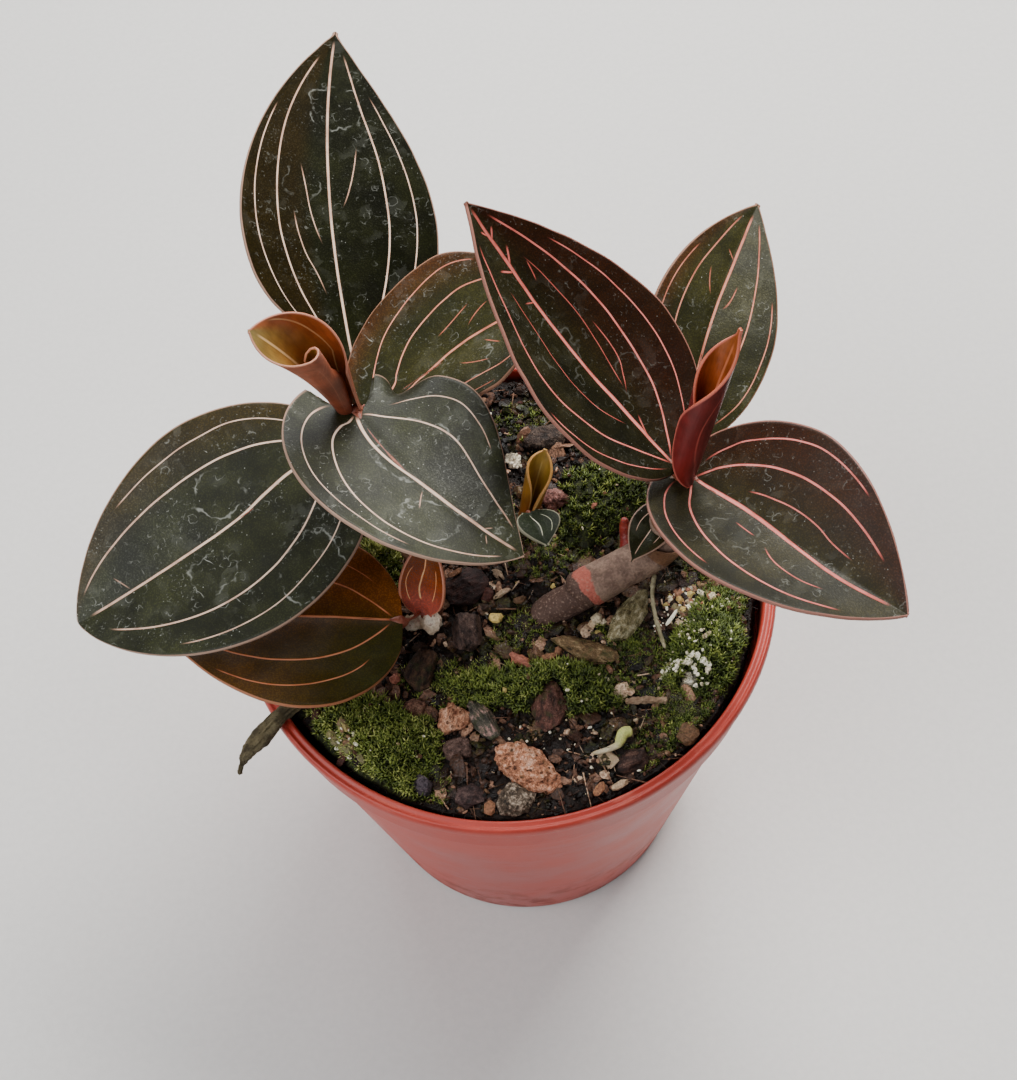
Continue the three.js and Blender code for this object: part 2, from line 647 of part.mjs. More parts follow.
/** A stem with the shoots that grow out of it, each rod made wider by extra. */
function stemSolid({ points, steps, shoots }, extra) {
  return shoots.reduce(
    (stem, shoot) => stem.add(solidOf(rod(grown(shoot, extra), SHOOT.sides, SHOOT.steps))),
    solidOf(rod(grown(points, extra), STEM_SIDES, steps)),
  );
}

add('pot', buildPot(), 'pot');

// Stems stand in plain holes in the soil.
const clearOfPlant = [];
for (const [name, stem] of Object.entries(STEMS)) {
  add(name, stemSolid(stem, 0), 'stem');
  clearOfPlant.push(stemSolid(stem, GAP));
}
const soil = buildSoil(clearOfPlant);
add('soil', soil, 'soil');
const liftedSoil = soil.translate([0, 0, GAP]);

// Leaves, each cut clear of the soil, of the stems and of the leaves that came before it.
for (const [name, sizes] of Object.entries(SCROLLS)) {
  const scroll = { ...sizes, room: 0 };
  const blade = solidOf(thicken(scrollSheet(scroll), SCROLL.thickness));
  add(name, cut(blade, [liftedSoil, ...clearOfPlant]), scroll.look);
  clearOfPlant.push(solidOf(thicken(scrollSheet(roomier(scroll)), SCROLL.thickness + 2 * GAP)));
}
for (const [name, sizes] of Object.entries(LEAVES)) {
  const leaf = { ...PLAIN_LEAF, ...sizes };
  const blade = solidOf(thicken(leafSheet(leaf), LEAF.thickness));
  add(name, cut(blade, [liftedSoil, ...clearOfPlant]), leaf.look);
  clearOfPlant.push(solidOf(thicken(leafSheet(roomier(leaf)), LEAF.thickness + 2 * GAP)));
}

// Loose pieces, sunk a little into the soil, clear of each other and of the pot's wall.
const roomRadius = SOIL_BRIM - 2 * GAP;
const potRoom = solidOf(
  new THREE.CylinderGeometry(roomRadius, roomRadius, POT.height, POT.sides)
    .rotateX(Math.PI / 2)
    .translate(0, 0, POT_COLLAR + POT.height / 2),
);
for (const [name, { points, sides, steps, look }] of Object.entries(LYING_RODS)) {
  add(name, cut(solidOf(rod(points, sides, steps)), [liftedSoil, ...clearOfPlant]), look);
  clearOfPlant.push(solidOf(rod(grown(points, GAP), sides, steps)));
}
Object.entries(LUMPS).forEach(([name, lump], i) => {
  const [x, y] = lump.at;
  const sizes = { ...lump, seed: 40 + i };
  const place = [x, y, soilHeight(x, y) + lump.size[2] * 0.2];
  const body = solidOf(brokenLump(sizes)).translate(place).intersect(potRoom);
  add(name, cut(body, [liftedSoil, ...clearOfPlant]), lump.look);
  const wider = lump.size.map((length) => length + 2 * GAP);
  clearOfPlant.push(solidOf(brokenLump({ ...sizes, size: wider })).translate(place));
});
for (const [name, sizes] of Object.entries(MOSS)) {
  const cushion = solidOf(mossCushion(sizes)).intersect(potRoom);
  add(name, cut(cushion, [liftedSoil, ...clearOfPlant]), 'moss');
}

export default plant;
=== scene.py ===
"""A jewel orchid in a small nursery pot: velvet leaves with pale veins, moss, bark and stones."""

import logging
import random
from collections.abc import Callable, Mapping, Sequence
from dataclasses import dataclass, field
from enum import Enum
from math import copysign, cos, exp, hypot, pi, radians, sin, sqrt, tan

import bmesh
import bpy
import numpy as np
from mathutils import Matrix, Vector, noise
from mathutils.bvhtree import BVHTree


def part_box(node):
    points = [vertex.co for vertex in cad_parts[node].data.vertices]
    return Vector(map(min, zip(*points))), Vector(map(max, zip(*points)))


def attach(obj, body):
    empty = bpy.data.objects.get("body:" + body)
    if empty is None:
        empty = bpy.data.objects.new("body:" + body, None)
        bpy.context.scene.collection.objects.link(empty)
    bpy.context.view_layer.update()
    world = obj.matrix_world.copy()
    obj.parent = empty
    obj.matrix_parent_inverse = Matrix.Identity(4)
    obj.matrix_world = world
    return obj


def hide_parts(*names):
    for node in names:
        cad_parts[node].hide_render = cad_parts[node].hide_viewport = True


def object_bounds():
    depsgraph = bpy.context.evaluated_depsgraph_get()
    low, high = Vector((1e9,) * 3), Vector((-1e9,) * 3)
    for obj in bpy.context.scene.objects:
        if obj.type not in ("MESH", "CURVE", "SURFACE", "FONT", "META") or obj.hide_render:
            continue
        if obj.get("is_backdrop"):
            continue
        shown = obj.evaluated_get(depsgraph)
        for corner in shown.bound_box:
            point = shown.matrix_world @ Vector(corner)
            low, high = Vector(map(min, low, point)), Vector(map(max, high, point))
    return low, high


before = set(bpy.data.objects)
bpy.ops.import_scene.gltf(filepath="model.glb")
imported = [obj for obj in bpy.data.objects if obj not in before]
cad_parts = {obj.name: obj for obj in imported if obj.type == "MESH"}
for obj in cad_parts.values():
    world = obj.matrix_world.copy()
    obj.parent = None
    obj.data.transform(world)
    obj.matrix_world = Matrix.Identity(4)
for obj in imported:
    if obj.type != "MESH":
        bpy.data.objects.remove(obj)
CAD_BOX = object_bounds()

log = logging.getLogger("jewel_orchid")

MM = 0.001
BODY = "root"
UP = Vector((0.0, 0.0, 1.0))

Material = bpy.types.Material
Mesh = bpy.types.Mesh
Piece = bpy.types.Object
Shape = bmesh.types.BMesh

Colour = tuple[int, int, int]
Point = tuple[float, float, float]
Pair = tuple[float, float]
Trace = tuple[Pair, ...]


# ---- shader sheets ----


def math_step(operation: str, swapped: bool = False) -> Callable[..., "Term"]:
    """Return a method of a term that adds one Math node.

    Args:
        operation: The node's operation.
        swapped: Whether the method's own term comes second, as in 1 - mask.

    Returns:
        The method.
    """

    def step(term: "Term", *others: "Term | float") -> "Term":
        """Add the node and return its result."""
        values = (*others, term) if swapped else (term, *others)
        return term.sheet.node("ShaderNodeMath", {"operation": operation}, dict(enumerate(values)))

    return step


@dataclass(frozen=True)
class Term:
    """A socket's value, on which Python's arithmetic builds Math nodes."""

    sheet: "Sheet"
    socket: bpy.types.NodeSocket

    __add__ = __radd__ = math_step("ADD")
    __sub__ = math_step("SUBTRACT")
    __rsub__ = math_step("SUBTRACT", swapped=True)
    __mul__ = __rmul__ = math_step("MULTIPLY")
    __truediv__ = math_step("DIVIDE")
    __pow__ = math_step("POWER")
    __abs__ = math_step("ABSOLUTE")
    most = math_step("MAXIMUM")

    def smooth(self, low: float, high: float, start: float = 0.0, end: float = 1.0) -> "Term":
        """Return a smooth step from start to end as self goes from low to high."""
        settings = {"interpolation_type": "SMOOTHSTEP"}
        inputs = {"Value": self, "From Min": low, "From Max": high, "To Min": start, "To Max": end}
        return self.sheet.node("ShaderNodeMapRange", settings, inputs)

    def curve(self, points: Trace) -> "Term":
        """Return the height of a drawn curve at self."""
        return self.sheet.node("ShaderNodeFloatCurve", {"curve": points}, {"Value": self})

    def parts(self) -> tuple["Term", "Term", "Term"]:
        """Return the x, y and z of a vector."""
        first = self.sheet.node("ShaderNodeSeparateXYZ", {}, {0: self})
        return tuple(Term(self.sheet, socket) for socket in first.socket.node.outputs)


class Sheet:
    """A material that is built one node at a time.

    Sizes are in millimetres. A pattern lies on the surface's own place unless at gives another.
    """

    def __init__(self, name: str) -> None:
        """Start an empty material.

        Args:
            name: The material's name.
        """
        self.material = bpy.data.materials.new(name)
        self.material.use_nodes = True
        self.tree = self.material.node_tree
        self.tree.nodes.clear()
        place = {0: self.node("ShaderNodeTexCoord", output="Object"), "Scale": 1.0 / MM}
        self.place = self.node("ShaderNodeVectorMath", {"operation": "SCALE"}, place)

    def node(
        self, kind: str, settings: Mapping[str, object] | None = None,
        inputs: Mapping[str | int, object] | None = None, output: str | int = 0,
    ) -> Term | None:
        """Add one node.

        Args:
            kind: The node's type.
            settings: Values set on the node first; stops go to its ramp, curve to its curve.
            inputs: Values or terms for its sockets, by name or by place.
            output: The name or the place of the output that is wanted.

        Returns:
            That output, or None where the node has none.
        """
        made = self.tree.nodes.new(kind)
        for key, value in (settings or {}).items():
            if key == "stops":
                self._set_ramp(made.color_ramp, value)
            elif key == "curve":
                self._set_curve(made.mapping, value)
            else:
                setattr(made, key, value)
        for key, value in (inputs or {}).items():
            if isinstance(value, Term):
                self.tree.links.new(value.socket, made.inputs[key])
            else:
                made.inputs[key].default_value = value
        return Term(self, made.outputs[output]) if made.outputs else None

    @classmethod
    def _set_ramp(cls, ramp: bpy.types.ColorRamp, stops: Sequence[tuple[float, Colour]]) -> None:
        """Give a colour ramp its stops.

        Args:
            ramp: The ramp.
            stops: Pairs of place and colour.
        """
        while len(ramp.elements) < len(stops):
            ramp.elements.new(1.0)
        for element, (place, colour) in zip(ramp.elements, stops):
            element.position = place
            element.color = cls._colour(colour)

    @staticmethod
    def _set_curve(mapping: bpy.types.CurveMapping, points: Trace) -> None:
        """Give a curve its points, over the range from -1 to 1.

        Args:
            mapping: The curve.
            points: Its points.
        """
        mapping.clip_min_y = -1.0
        mapping.extend = "HORIZONTAL"
        drawn = mapping.curves[0].points
        while len(drawn) < len(points):
            drawn.new(1.0, 0.0)
        for point, (x, y) in zip(drawn, points):
            point.location = (x, y)
        mapping.update()

    def stretched(self, scale: Point, turn: float = 0.0, at: Term | None = None) -> Term:
        """Return a place that is turned about +Z and then stretched along the axes."""
        lengths = tuple(1.0 / step for step in scale)
        inputs = {0: at or self.place, "Rotation": (0.0, 0.0, -radians(turn)), "Scale": lengths}
        return self.node("ShaderNodeMapping", {"vector_type": "TEXTURE"}, inputs)

    def warped(self, size: float, reach: float) -> Term:
        """Return a place that noise with lumps of a size has pushed about, by up to a reach."""
        inputs = {"Vector": self.place, "Scale": 1.0 / size, "Detail": 2.0}
        push = self.node("ShaderNodeTexNoise", {}, inputs, "Color")
        inputs = {0: push, 1: (2.0 * reach,) * 3, 2: self.place}
        return self.node("ShaderNodeVectorMath", {"operation": "MULTIPLY_ADD"}, inputs)

    def grain(
        self, size: float, detail: float = 3.0, rough: float = 0.55, at: Term | None = None,
    ) -> Term:
        """Return noise from 0 to 1 with lumps of a size."""
        inputs = {"Vector": at or self.place, "Scale": 1.0 / size, "Detail": detail, "Roughness": rough}
        return self.node("ShaderNodeTexNoise", {}, inputs)

    def cells(self, size: float, output: str = "Distance", at: Term | None = None) -> Term:
        """Return a cell pattern with cells of a size."""
        inputs = {"Vector": at or self.place, "Scale": 1.0 / size}
        return self.node("ShaderNodeTexVoronoi", {}, inputs, output)

    def attribute(self, name: str) -> Term:
        """Return the value of an attribute of the mesh."""
        return self.node("ShaderNodeAttribute", {"attribute_name": name}, output="Fac")

    def mix(self, share: Term | float, first: Term | Colour, second: Term | Colour) -> Term:
        """Mix two colours.

        Args:
            share: The share of the second.
            first: The colour at 0.
            second: The colour at 1.

        Returns:
            The mixed colour.
        """
        inputs = {0: share, 6: self._colour(first), 7: self._colour(second)}
        settings = {"data_type": "RGBA", "clamp_factor": True}
        return self.node("ShaderNodeMix", settings, inputs, 2)

    def shade(self, colour: Term | Colour, light: Term) -> Term:
        """Make a colour lighter or darker.

        Args:
            colour: The colour.
            light: The factor.

        Returns:
            The shaded colour.
        """
        grey = self.node("ShaderNodeCombineColor", {}, {0: light, 1: light, 2: light})
        settings = {"data_type": "RGBA", "blend_type": "MULTIPLY"}
        inputs = {0: 1.0, 6: self._colour(colour), 7: grey}
        return self.node("ShaderNodeMix", settings, inputs, 2)

    def ramp(self, value: Term, stops: Sequence[tuple[float, Colour]]) -> Term:
        """Return the colour of a ramp at a value."""
        return self.node("ShaderNodeValToRGB", {"stops": stops}, {0: value})

    @staticmethod
    def _colour(value: Term | Colour) -> Term | tuple[float, float, float, float]:
        """Turn a colour of display values from 0 to 255 into linear shares with alpha."""
        if isinstance(value, Term):
            return value
        shares = [step / 255.0 for step in value]
        return (*(s / 12.92 if s < 0.04045 else ((s + 0.055) / 1.055) ** 2.4 for s in shares), 1.0)

    def finish(
        self, colour: Term | Colour, rough: Term | float, height: Term | None = None, depth: float = 0.1,
        gloss: float = 0.5,
    ) -> Material:
        """Close the material with a Principled shader.

        Args:
            colour: The base colour.
            rough: The roughness.
            height: What the bump follows, or None for a smooth surface.
            depth: The bump's depth in millimetres.
            gloss: How strongly it reflects, where 0.5 is plain plastic.

        Returns:
            The material.
        """
        inputs = {"Base Color": self._colour(colour), "Roughness": rough, "Specular IOR Level": gloss}
        if height is not None:
            bump = {"Height": height, "Distance": depth * MM, "Strength": 1.0}
            inputs["Normal"] = self.node("ShaderNodeBump", {}, bump)
        shader = self.node("ShaderNodeBsdfPrincipled", {}, inputs)
        self.node("ShaderNodeOutputMaterial", {}, {"Surface": shader})
        return self.material


# ---- shapes ----


@dataclass(frozen=True)
class Spot:
    """One point of a shaped sheet, with its place in the sheet's own chart."""

    point: Vector
    along: float
    across: float
    reach: float = 0.0


Law = Callable[[float, float], Spot]


def shaped_sheet(rows: int, columns: int, law: Law) -> Shape:
    """Bend a grid into a sheet.

    Args:
        rows: Faces along the sheet.
        columns: Faces across it.
        law: Gives the spot for a share along (0 to 1) and across (-1 to 1), in millimetres.

    Returns:
        The sheet in metres, with the UV maps "blade" (along, across) and "span" (reach).
    """
    sheet = bmesh.new()
    bmesh.ops.create_grid(sheet, x_segments=columns, y_segments=rows, size=1.0)
    blade = sheet.loops.layers.uv.new("blade")
    span = sheet.loops.layers.uv.new("span")
    spots = {}
    for vert in sheet.verts:
        spots[vert] = law(0.5 + 0.5 * vert.co.y, -vert.co.x)
        vert.co = spots[vert].point * MM
    for face in sheet.faces:
        face.smooth = True
        for loop in face.loops:
            spot = spots[loop.vert]
            loop[blade].uv = (spot.along, spot.across)
            loop[span].uv = (spot.reach, 0.0)
    return sheet


def spline(points: Sequence[Sequence[float]], share: float) -> list[float]:
    """Return the value of a smooth curve through points at a share of its way.

    Args:
        points: Rows of numbers, spread evenly along the curve.
        share: How far along, from 0 to 1.

    Returns:
        The row of numbers there.
    """
    last = len(points) - 1
    step = min(int(share * last), last - 1)
    t = share * last - step
    rows = [points[min(max(step + k, 0), last)] for k in (-1, 0, 1, 2)]
    return [
        0.5 * (
            2 * b + (c - a) * t + (2 * a - 5 * b + 4 * c - d) * t * t + (3 * b - a - 3 * c + d) * t ** 3
        ) for a, b, c, d in zip(*rows)
    ]


OFF_END = 0.0004
LOOK_AHEAD = 0.004
DOME_RINGS = 3.0


def tube(
    points: Sequence[Sequence[float]], rings: int, sides: int,
    swell: Callable[[float, float], float] = lambda share, turn: 0.0,
) -> Shape:
    """Make a closed round rod through points.

    Args:
        points: Rows of x, y, z and radius, in millimetres.
        rings: Faces along the rod.
        sides: Faces round it.
        swell: Millimetres added to the radius at a share along and a turn round.

    Returns:
        The rod in metres.
    """
    first = Vector(spline(points, 0.01)[:3]) - Vector(spline(points, 0.0)[:3])
    side = first.orthogonal().normalized()

    def law(along: float, across: float) -> Spot:
        """Place one point of the rod's skin.

        Args:
            along: Its share of the way.
            across: Its side, from -1 to 1.

        Returns:
            The spot.
        """
        inner = OFF_END + (1.0 - 2.0 * OFF_END) * along
        x, y, z, radius = spline(points, inner)
        ahead = Vector(spline(points, min(inner + LOOK_AHEAD, 1.0))[:3])
        behind = Vector(spline(points, max(inner - LOOK_AHEAD, 0.0))[:3])
        tangent = (ahead - behind).normalized()
        level = (side - tangent * side.dot(tangent)).normalized()
        turn = pi * across
        ends = min(1.0, sqrt(max(0.0, min(along, 1.0 - along) * rings / DOME_RINGS)))
        out = level * cos(turn) + tangent.cross(level) * sin(turn)
        size = (radius + swell(inner, turn)) * ends
        return Spot(Vector((x, y, z)) + out * size, along, across, size)

    rod = shaped_sheet(rings, sides, law)
    bmesh.ops.remove_doubles(rod, verts=rod.verts[:], dist=0.002 * MM)
    bmesh.ops.recalc_face_normals(rod, faces=rod.faces[:])
    return rod


def lathe(outline: Sequence[Pair], sides: int) -> Shape:
    """Spin an outline that starts and ends on the axis into a closed shell.

    Args:
        outline: Pairs of radius and height, in millimetres.
        sides: Faces round the shell.

    Returns:
        The shell in metres.
    """
    shell = bmesh.new()
    corners = [shell.verts.new((radius * MM, 0.0, z * MM)) for radius, z in outline]
    edges = [shell.edges.new(pair) for pair in zip(corners, corners[1:])]
    bmesh.ops.spin(
        shell, geom=corners + edges, cent=(0.0, 0.0, 0.0), axis=(0.0, 0.0, 1.0), angle=2.0 * pi,
        steps=sides, use_merge=True,
    )
    bmesh.ops.remove_doubles(shell, verts=shell.verts[:], dist=0.001 * MM)
    bmesh.ops.recalc_face_normals(shell, faces=shell.faces[:])
    return shell


def node_copy(node: str) -> Shape:
    """Return a merged copy of a solid of the frame."""
    copy = bmesh.new()
    copy.from_mesh(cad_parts[node].data)
    bmesh.ops.remove_doubles(copy, verts=copy.verts[:], dist=0.001 * MM)
    return copy


def ground_tree(meshes: Sequence[Mesh]) -> BVHTree:
    """Make a search tree of meshes.

    Args:
        meshes: What loose things lie on.

    Returns:
        The tree.
    """
    joined = bmesh.new()
    for mesh in meshes:
        joined.from_mesh(mesh)
    tree = BVHTree.FromBMesh(joined)
    joined.free()
    return tree


def piece_of(name: str, mesh: Mesh, *finishes: Material) -> Piece:
    """Make an object for a mesh.

    Args:
        name: The object's name.
        mesh: Its mesh.
        *finishes: Its materials, in the order of its faces' numbers.

    Returns:
        The object.
    """
    for finish in finishes:
        mesh.materials.append(finish)
    piece = bpy.data.objects.new(name, mesh)
    bpy.context.scene.collection.objects.link(piece)
    return piece


def make_piece(name: str, shape: Shape, *finishes: Material) -> Piece:
    """Turn a shape into a smooth object with its place in its mesh.

    Args:
        name: The object's name.
        shape: The shape, in metres; it is freed.
        *finishes: Its materials, in the order of its faces' numbers.

    Returns:
        The object.
    """
    mesh = bpy.data.meshes.new(name)
    shape.to_mesh(mesh)
    shape.free()
    mesh.polygons.foreach_set("use_smooth", [True] * len(mesh.polygons))
    return piece_of(name, mesh, *finishes)


def settle(piece: Piece, slot: str, *nodes: str) -> Piece:
    """Hang a finished piece on the one body, hide the solids that it stands for, and report it.

    Args:
        piece: The piece; it rides on the one body.
        slot: The name of its material slot, which is only reported.
        *nodes: The solids that it stands for.

    Returns:
        The piece.
    """
    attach(piece, BODY)
    if nodes:
        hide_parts(*nodes)
    log.info("piece %s: %d faces, slot %s", piece.name, len(piece.data.polygons), slot)
    return piece


@dataclass(frozen=True)
class Stamp:
    """Where and how one copy of a small shape is set down."""

    place: Vector
    up: Vector
    turn: float
    size: Vector
    tone: float


def stamped(name: str, shape: Shape, stamps: Sequence[Stamp], smooth: bool) -> Mesh:
    """Set many copies of a small shape down in one mesh.

    Args:
        name: The mesh's name.
        shape: The small shape; it is freed. Its height runs from 0 to 1 along +Z.
        stamps: Where the copies go, in metres.
        smooth: Whether the faces shade smoothly.

    Returns:
        A mesh with the attributes "tone" (one value a copy) and "rise" (0 at the foot, 1 at the top).
    """
    template = bpy.data.meshes.new(name)
    bmesh.ops.triangulate(shape, faces=shape.faces[:])
    shape.to_mesh(template)
    shape.free()
    count = len(template.vertices)
    corners = np.empty(count * 3)
    template.vertices.foreach_get("co", corners)
    corners = corners.reshape(count, 3)
    faces = np.array([tuple(face.vertices) for face in template.polygons])
    turned = []
    for stamp in stamps:
        lean = UP.rotation_difference(stamp.up).to_matrix()
        local = lean @ Matrix.Rotation(stamp.turn, 3, "Z") @ Matrix.Diagonal(stamp.size)
        turned.append(corners @ np.array(local).T + np.array(stamp.place))
    mesh = bpy.data.meshes.new(name)
    total = len(stamps)
    mesh.vertices.add(total * count)
    mesh.vertices.foreach_set("co", np.concatenate(turned).ravel())
    offsets = (np.arange(total) * count)[:, None, None]
    mesh.loops.add(total * len(faces) * 3)
    mesh.loops.foreach_set("vertex_index", (faces[None] + offsets).ravel())
    mesh.polygons.add(total * len(faces))
    mesh.polygons.foreach_set("loop_start", np.arange(total * len(faces)) * 3)
    mesh.update(calc_edges=True)
    mesh.polygons.foreach_set("use_smooth", [smooth] * len(mesh.polygons))
    tone = mesh.attributes.new("tone", "FLOAT", "POINT")
    tone.data.foreach_set("value", np.repeat([stamp.tone for stamp in stamps], count))
    rise = mesh.attributes.new("rise", "FLOAT", "POINT")
    rise.data.foreach_set("value", np.tile(corners[:, 2], total))
    bpy.data.meshes.remove(template)
    return mesh


# ---- leaves ----


# Lengths in millimetres, turns in radians and shares of a blade.
STALK_HALF_WIDTH = 1.3
TIP_HALF_WIDTH = 0.3
NECK_SHARE = 0.022
RIB_STEPS = 96
LAP = 1.25
MOST_TURN = 3.6
UNWIND = 1.7
UNWIND_FROM = 0.25
UNWIND_OVER = 0.3
MOST_BEND = 4.4
SPREAD_RANGE = 4.0
DUST = (190, 192, 182)


@dataclass(frozen=True)
class Vein:
    """A vein: its way as pairs of along and across in hundredths, its width and its strength."""

    way: tuple[float, ...]
    width: float = 0.29
    strength: float = 0.9

    @property
    def points(self) -> Trace:
        """Return the way as shares of the blade."""
        return tuple((s / 100.0, u / 100.0) for s, u in zip(self.way[::2], self.way[1::2]))


@dataclass(frozen=True)
class Ruffle:
    """A wave in a blade's edge: its side, its place and length along, its lift and its tuck."""

    side: int
    at: float
    span: float
    lift: float
    tuck: float


@dataclass(frozen=True)
class Watermark:
    """A pale dried ring on a blade: its place in the chart, its radius and its strength."""

    along: float
    across: float
    radius: float
    strength: float = 0.5


@dataclass(frozen=True)
class Wash:
    """A tint over part of a blade: from nothing to full over a range across and one along."""

    tint: Colour
    across: Pair = (-3.0, -2.0)
    along: Pair = (-3.0, -2.0)
    most: float = 1.0


@dataclass
class Blade:
    """What flat and rolled leaves share: a place, a way through the air and an outline.

    Lengths are in millimetres and angles in degrees. Along runs from 0 at the stalk to 1 at
    the tip, and across from -1 to 1, with the left side of the heading positive.
    """

    name: str
    base: Point
    length: float
    half_width: float
    heading: float
    pitch: float
    sway: float = 0.0
    droop: float = 0.0
    roll: float = 0.0
    widest: float = 0.42
    taper: float = 1.0
    uneven: float = 0.0
    veins: tuple[Vein, ...] = ()
    ribs: list[Vector] = field(init=False, repr=False)

    def __post_init__(self) -> None:
        """Walk the midrib once, so that points on it can be looked up."""
        self.ribs = [Vector(self.base)]
        for step in range(RIB_STEPS):
            ahead = self.axes((step + 0.5) / RIB_STEPS)[0]
            self.ribs.append(self.ribs[-1] + ahead * (self.length / RIB_STEPS))

    def axes(self, along: float) -> tuple[Vector, Vector, Vector]:
        """Find the directions at a place of the midrib.

        Args:
            along: The share of the blade.

        Returns:
            The ways along, across and up.
        """
        heading = radians(self.heading + self.sway * (along - 0.5))
        pitch = radians(self.pitch - self.droop * along)
        level_share = cos(pitch)
        ahead = Vector((cos(heading) * level_share, sin(heading) * level_share, sin(pitch)))
        level = Vector((-sin(heading), cos(heading), 0.0))
        across = Matrix.Rotation(radians(self.roll), 3, ahead) @ level
        return ahead, across, ahead.cross(across)

    def rib(self, along: float) -> Vector:
        """Return the midrib's point at a share of the blade."""
        step = min(int(along * RIB_STEPS), RIB_STEPS - 1)
        return self.ribs[step].lerp(self.ribs[step + 1], along * RIB_STEPS - step)

    def outline(self, along: float) -> float:
        """Return the half width at a share of the blade, as a share of the widest."""
        if along < self.widest:
            return sqrt(max(0.0, 1.0 - (1.0 - along / self.widest) ** 2))
        fall = ((along - self.widest) / (1.0 - self.widest)) ** 1.8
        return max(0.0, 1.0 - fall) ** self.taper

    def half(self, along: float, across: float, neck: float) -> float:
        """Return the half width in millimetres on one side."""
        least = neck * (1.0 - along) + TIP_HALF_WIDTH
        side = copysign(1.0, across) if across else 0.0
        return max(self.half_width * self.outline(along), least) * (1.0 + self.uneven * side)

    def spread(self, vein: Vein) -> Trace:
        """Find how much wider than its own width a slanted vein has to be drawn.

        Args:
            vein: The vein.

        Returns:
            Pairs of along and the factor, as a share of the widest range.
        """
        factors = []
        for (s0, u0), (s1, u1) in zip(vein.points, vein.points[1:]):
            rise = (u1 - u0) * self.half_width * self.outline(0.5 * (s0 + s1))
            slope = rise / max((s1 - s0) * self.length, 0.01)
            steep = min(hypot(1.0, slope), SPREAD_RANGE)
            factors.append((0.5 * (s0 + s1), steep / SPREAD_RANGE))
        ends = ((vein.points[0][0], factors[0][1]), (vein.points[-1][0], factors[-1][1]))
        return (ends[0], *factors, ends[1])


@dataclass
class FlatBlade(Blade):
    """An open leaf: a cupped and folded blade with lobes at its base and a stalk."""

    foot: Point = (0.0, 0.0, 0.0)
    fold: float = 0.0
    cup: float = 200.0
    lobes: Pair = (0.0, 0.0)
    ruffles: tuple[Ruffle, ...] = ()
    marks: tuple[Watermark, ...] = ()
    look: "Look | None" = None
    # Painted sheen: which side of the blade the brown-red washes fall on, and how strongly.
    flush: float = 1.0
    stalk: float = 1.0
    # Painted light and shade: how brightly this leaf is lit, multiplied into its colour; it also lessens
    # the dust on darker leaves and scales the gloss.
    shade: float = 1.0
    slot: str = "leaf"
    rows: int = 90
    columns: int = 46
    thickness: float = 0.5

    def point(self, along: float, across: float) -> Vector:
        """Place a point of the blade: bent round its midrib, with its waves and lobes.

        Args:
            along: Its share of the way to the tip.
            across: Its side, from -1 to 1.

        Returns:
            The point, in millimetres.
        """
        ahead, side, up = self.axes(along)
        half = self.half(along, across, STALK_HALF_WIDTH)
        reach = across * half
        lift = 0.0
        for ruffle in self.ruffles:
            if across * ruffle.side > 0.0:
                wave = abs(across) ** 3 * exp(-(((along - ruffle.at) / ruffle.span) ** 2))
                lift += wave * ruffle.lift
                reach -= wave * ruffle.tuck * ruffle.side
        turn = reach / self.cup
        crease = tan(radians(self.fold)) * (hypot(reach / half, 0.1) - 0.1) * half
        bent = side * (self.cup * sin(turn)) + up * (self.cup * (1.0 - cos(turn)) + crease + lift)
        lobe = self.lobes[0 if across > 0.0 else 1] * min(1.0, along / NECK_SHARE)
        lobe *= (1.0 - along) ** 4 * abs(across) ** 1.5
        return self.rib(along) + bent - ahead * lobe

    def relief(self, along: float, across: float, half: float) -> float:
        """Find the fine height of the skin: a sunk midrib, soft quilting and a wavy margin.

        Args:
            along: The share of the way to the tip.
            across: The side, from -1 to 1.
            half: The half width there.

        Returns:
            The height in millimetres.
        """
        open_part = min(1.0, along / 0.08)
        rib = -0.28 * exp(-((across * half / 0.8) ** 2)) * (1.0 - 0.7 * along)
        seed = Vector((along * self.length, across * half, self.length * 3.0))
        quilt = 0.1 * noise.noise(seed / 3.2) + 0.16 * noise.noise(seed / 8.0)
        wave = 0.22 * abs(across) ** 5 * noise.noise(seed / 4.5 + UP * 9.0)
        return open_part * (rib + quilt + wave)

    def law(self, share: float, across: float) -> Spot:
        """Place one point of the blade's fine sheet."""
        along = 0.5 * (1.0 - cos(pi * share))
        half = self.half(along, across, STALK_HALF_WIDTH)
        skin = self.axes(along)[2] * self.relief(along, across, half)
        return Spot(self.point(along, across) + skin, along, across, half)

    def stalk_rows(self) -> list[tuple[float, float, float, float]]:
        """Lay out the stalk and the ridge under the midrib.

        Returns:
            Rows of x, y, z and radius.
        """
        foot, base = Vector(self.foot), Vector(self.base)
        bend = base - self.axes(0.0)[0] * 0.25 * (base - foot).length
        rows = []
        thick = min(1.0, self.half_width / 12.0)
        slim = thick * self.stalk
        for share in (0.0, 0.25, 0.5, 0.75):
            here = foot.lerp(bend, share).lerp(bend.lerp(base, share), share)
            rows.append((*here, slim * (1.7 - 0.55 * share)))
        for along in (0.0, 0.06, 0.14, 0.24, 0.36, 0.5, 0.66, 0.82):
            radius = thick * 1.1 * (1.0 - along) ** 1.1 * (1.0 if along < 0.03 else 0.62)
            down = radius * (0.3 if along < 0.03 else 0.8) + 0.1
            rows.append((*(self.rib(along) - self.axes(along)[2] * down), radius))
        return rows

    def build(self, face: Material, back: Material, stalk: Material) -> None:
        """Make the blade and its stalk.

        Args:
            face: The upper side's finish.
            back: The underside's finish.
            stalk: The stalk's finish.
        """
        sheet = shaped_sheet(self.rows, self.columns, self.law)
        piece = make_piece(f"{self.name}_blade", sheet, face, back)
        thicken(piece, self.thickness)
        settle(piece, self.slot, self.name)
        rod = tube(self.stalk_rows(), 60, 14)
        settle(make_piece(f"{self.name}_stalk", rod, stalk), "stem")


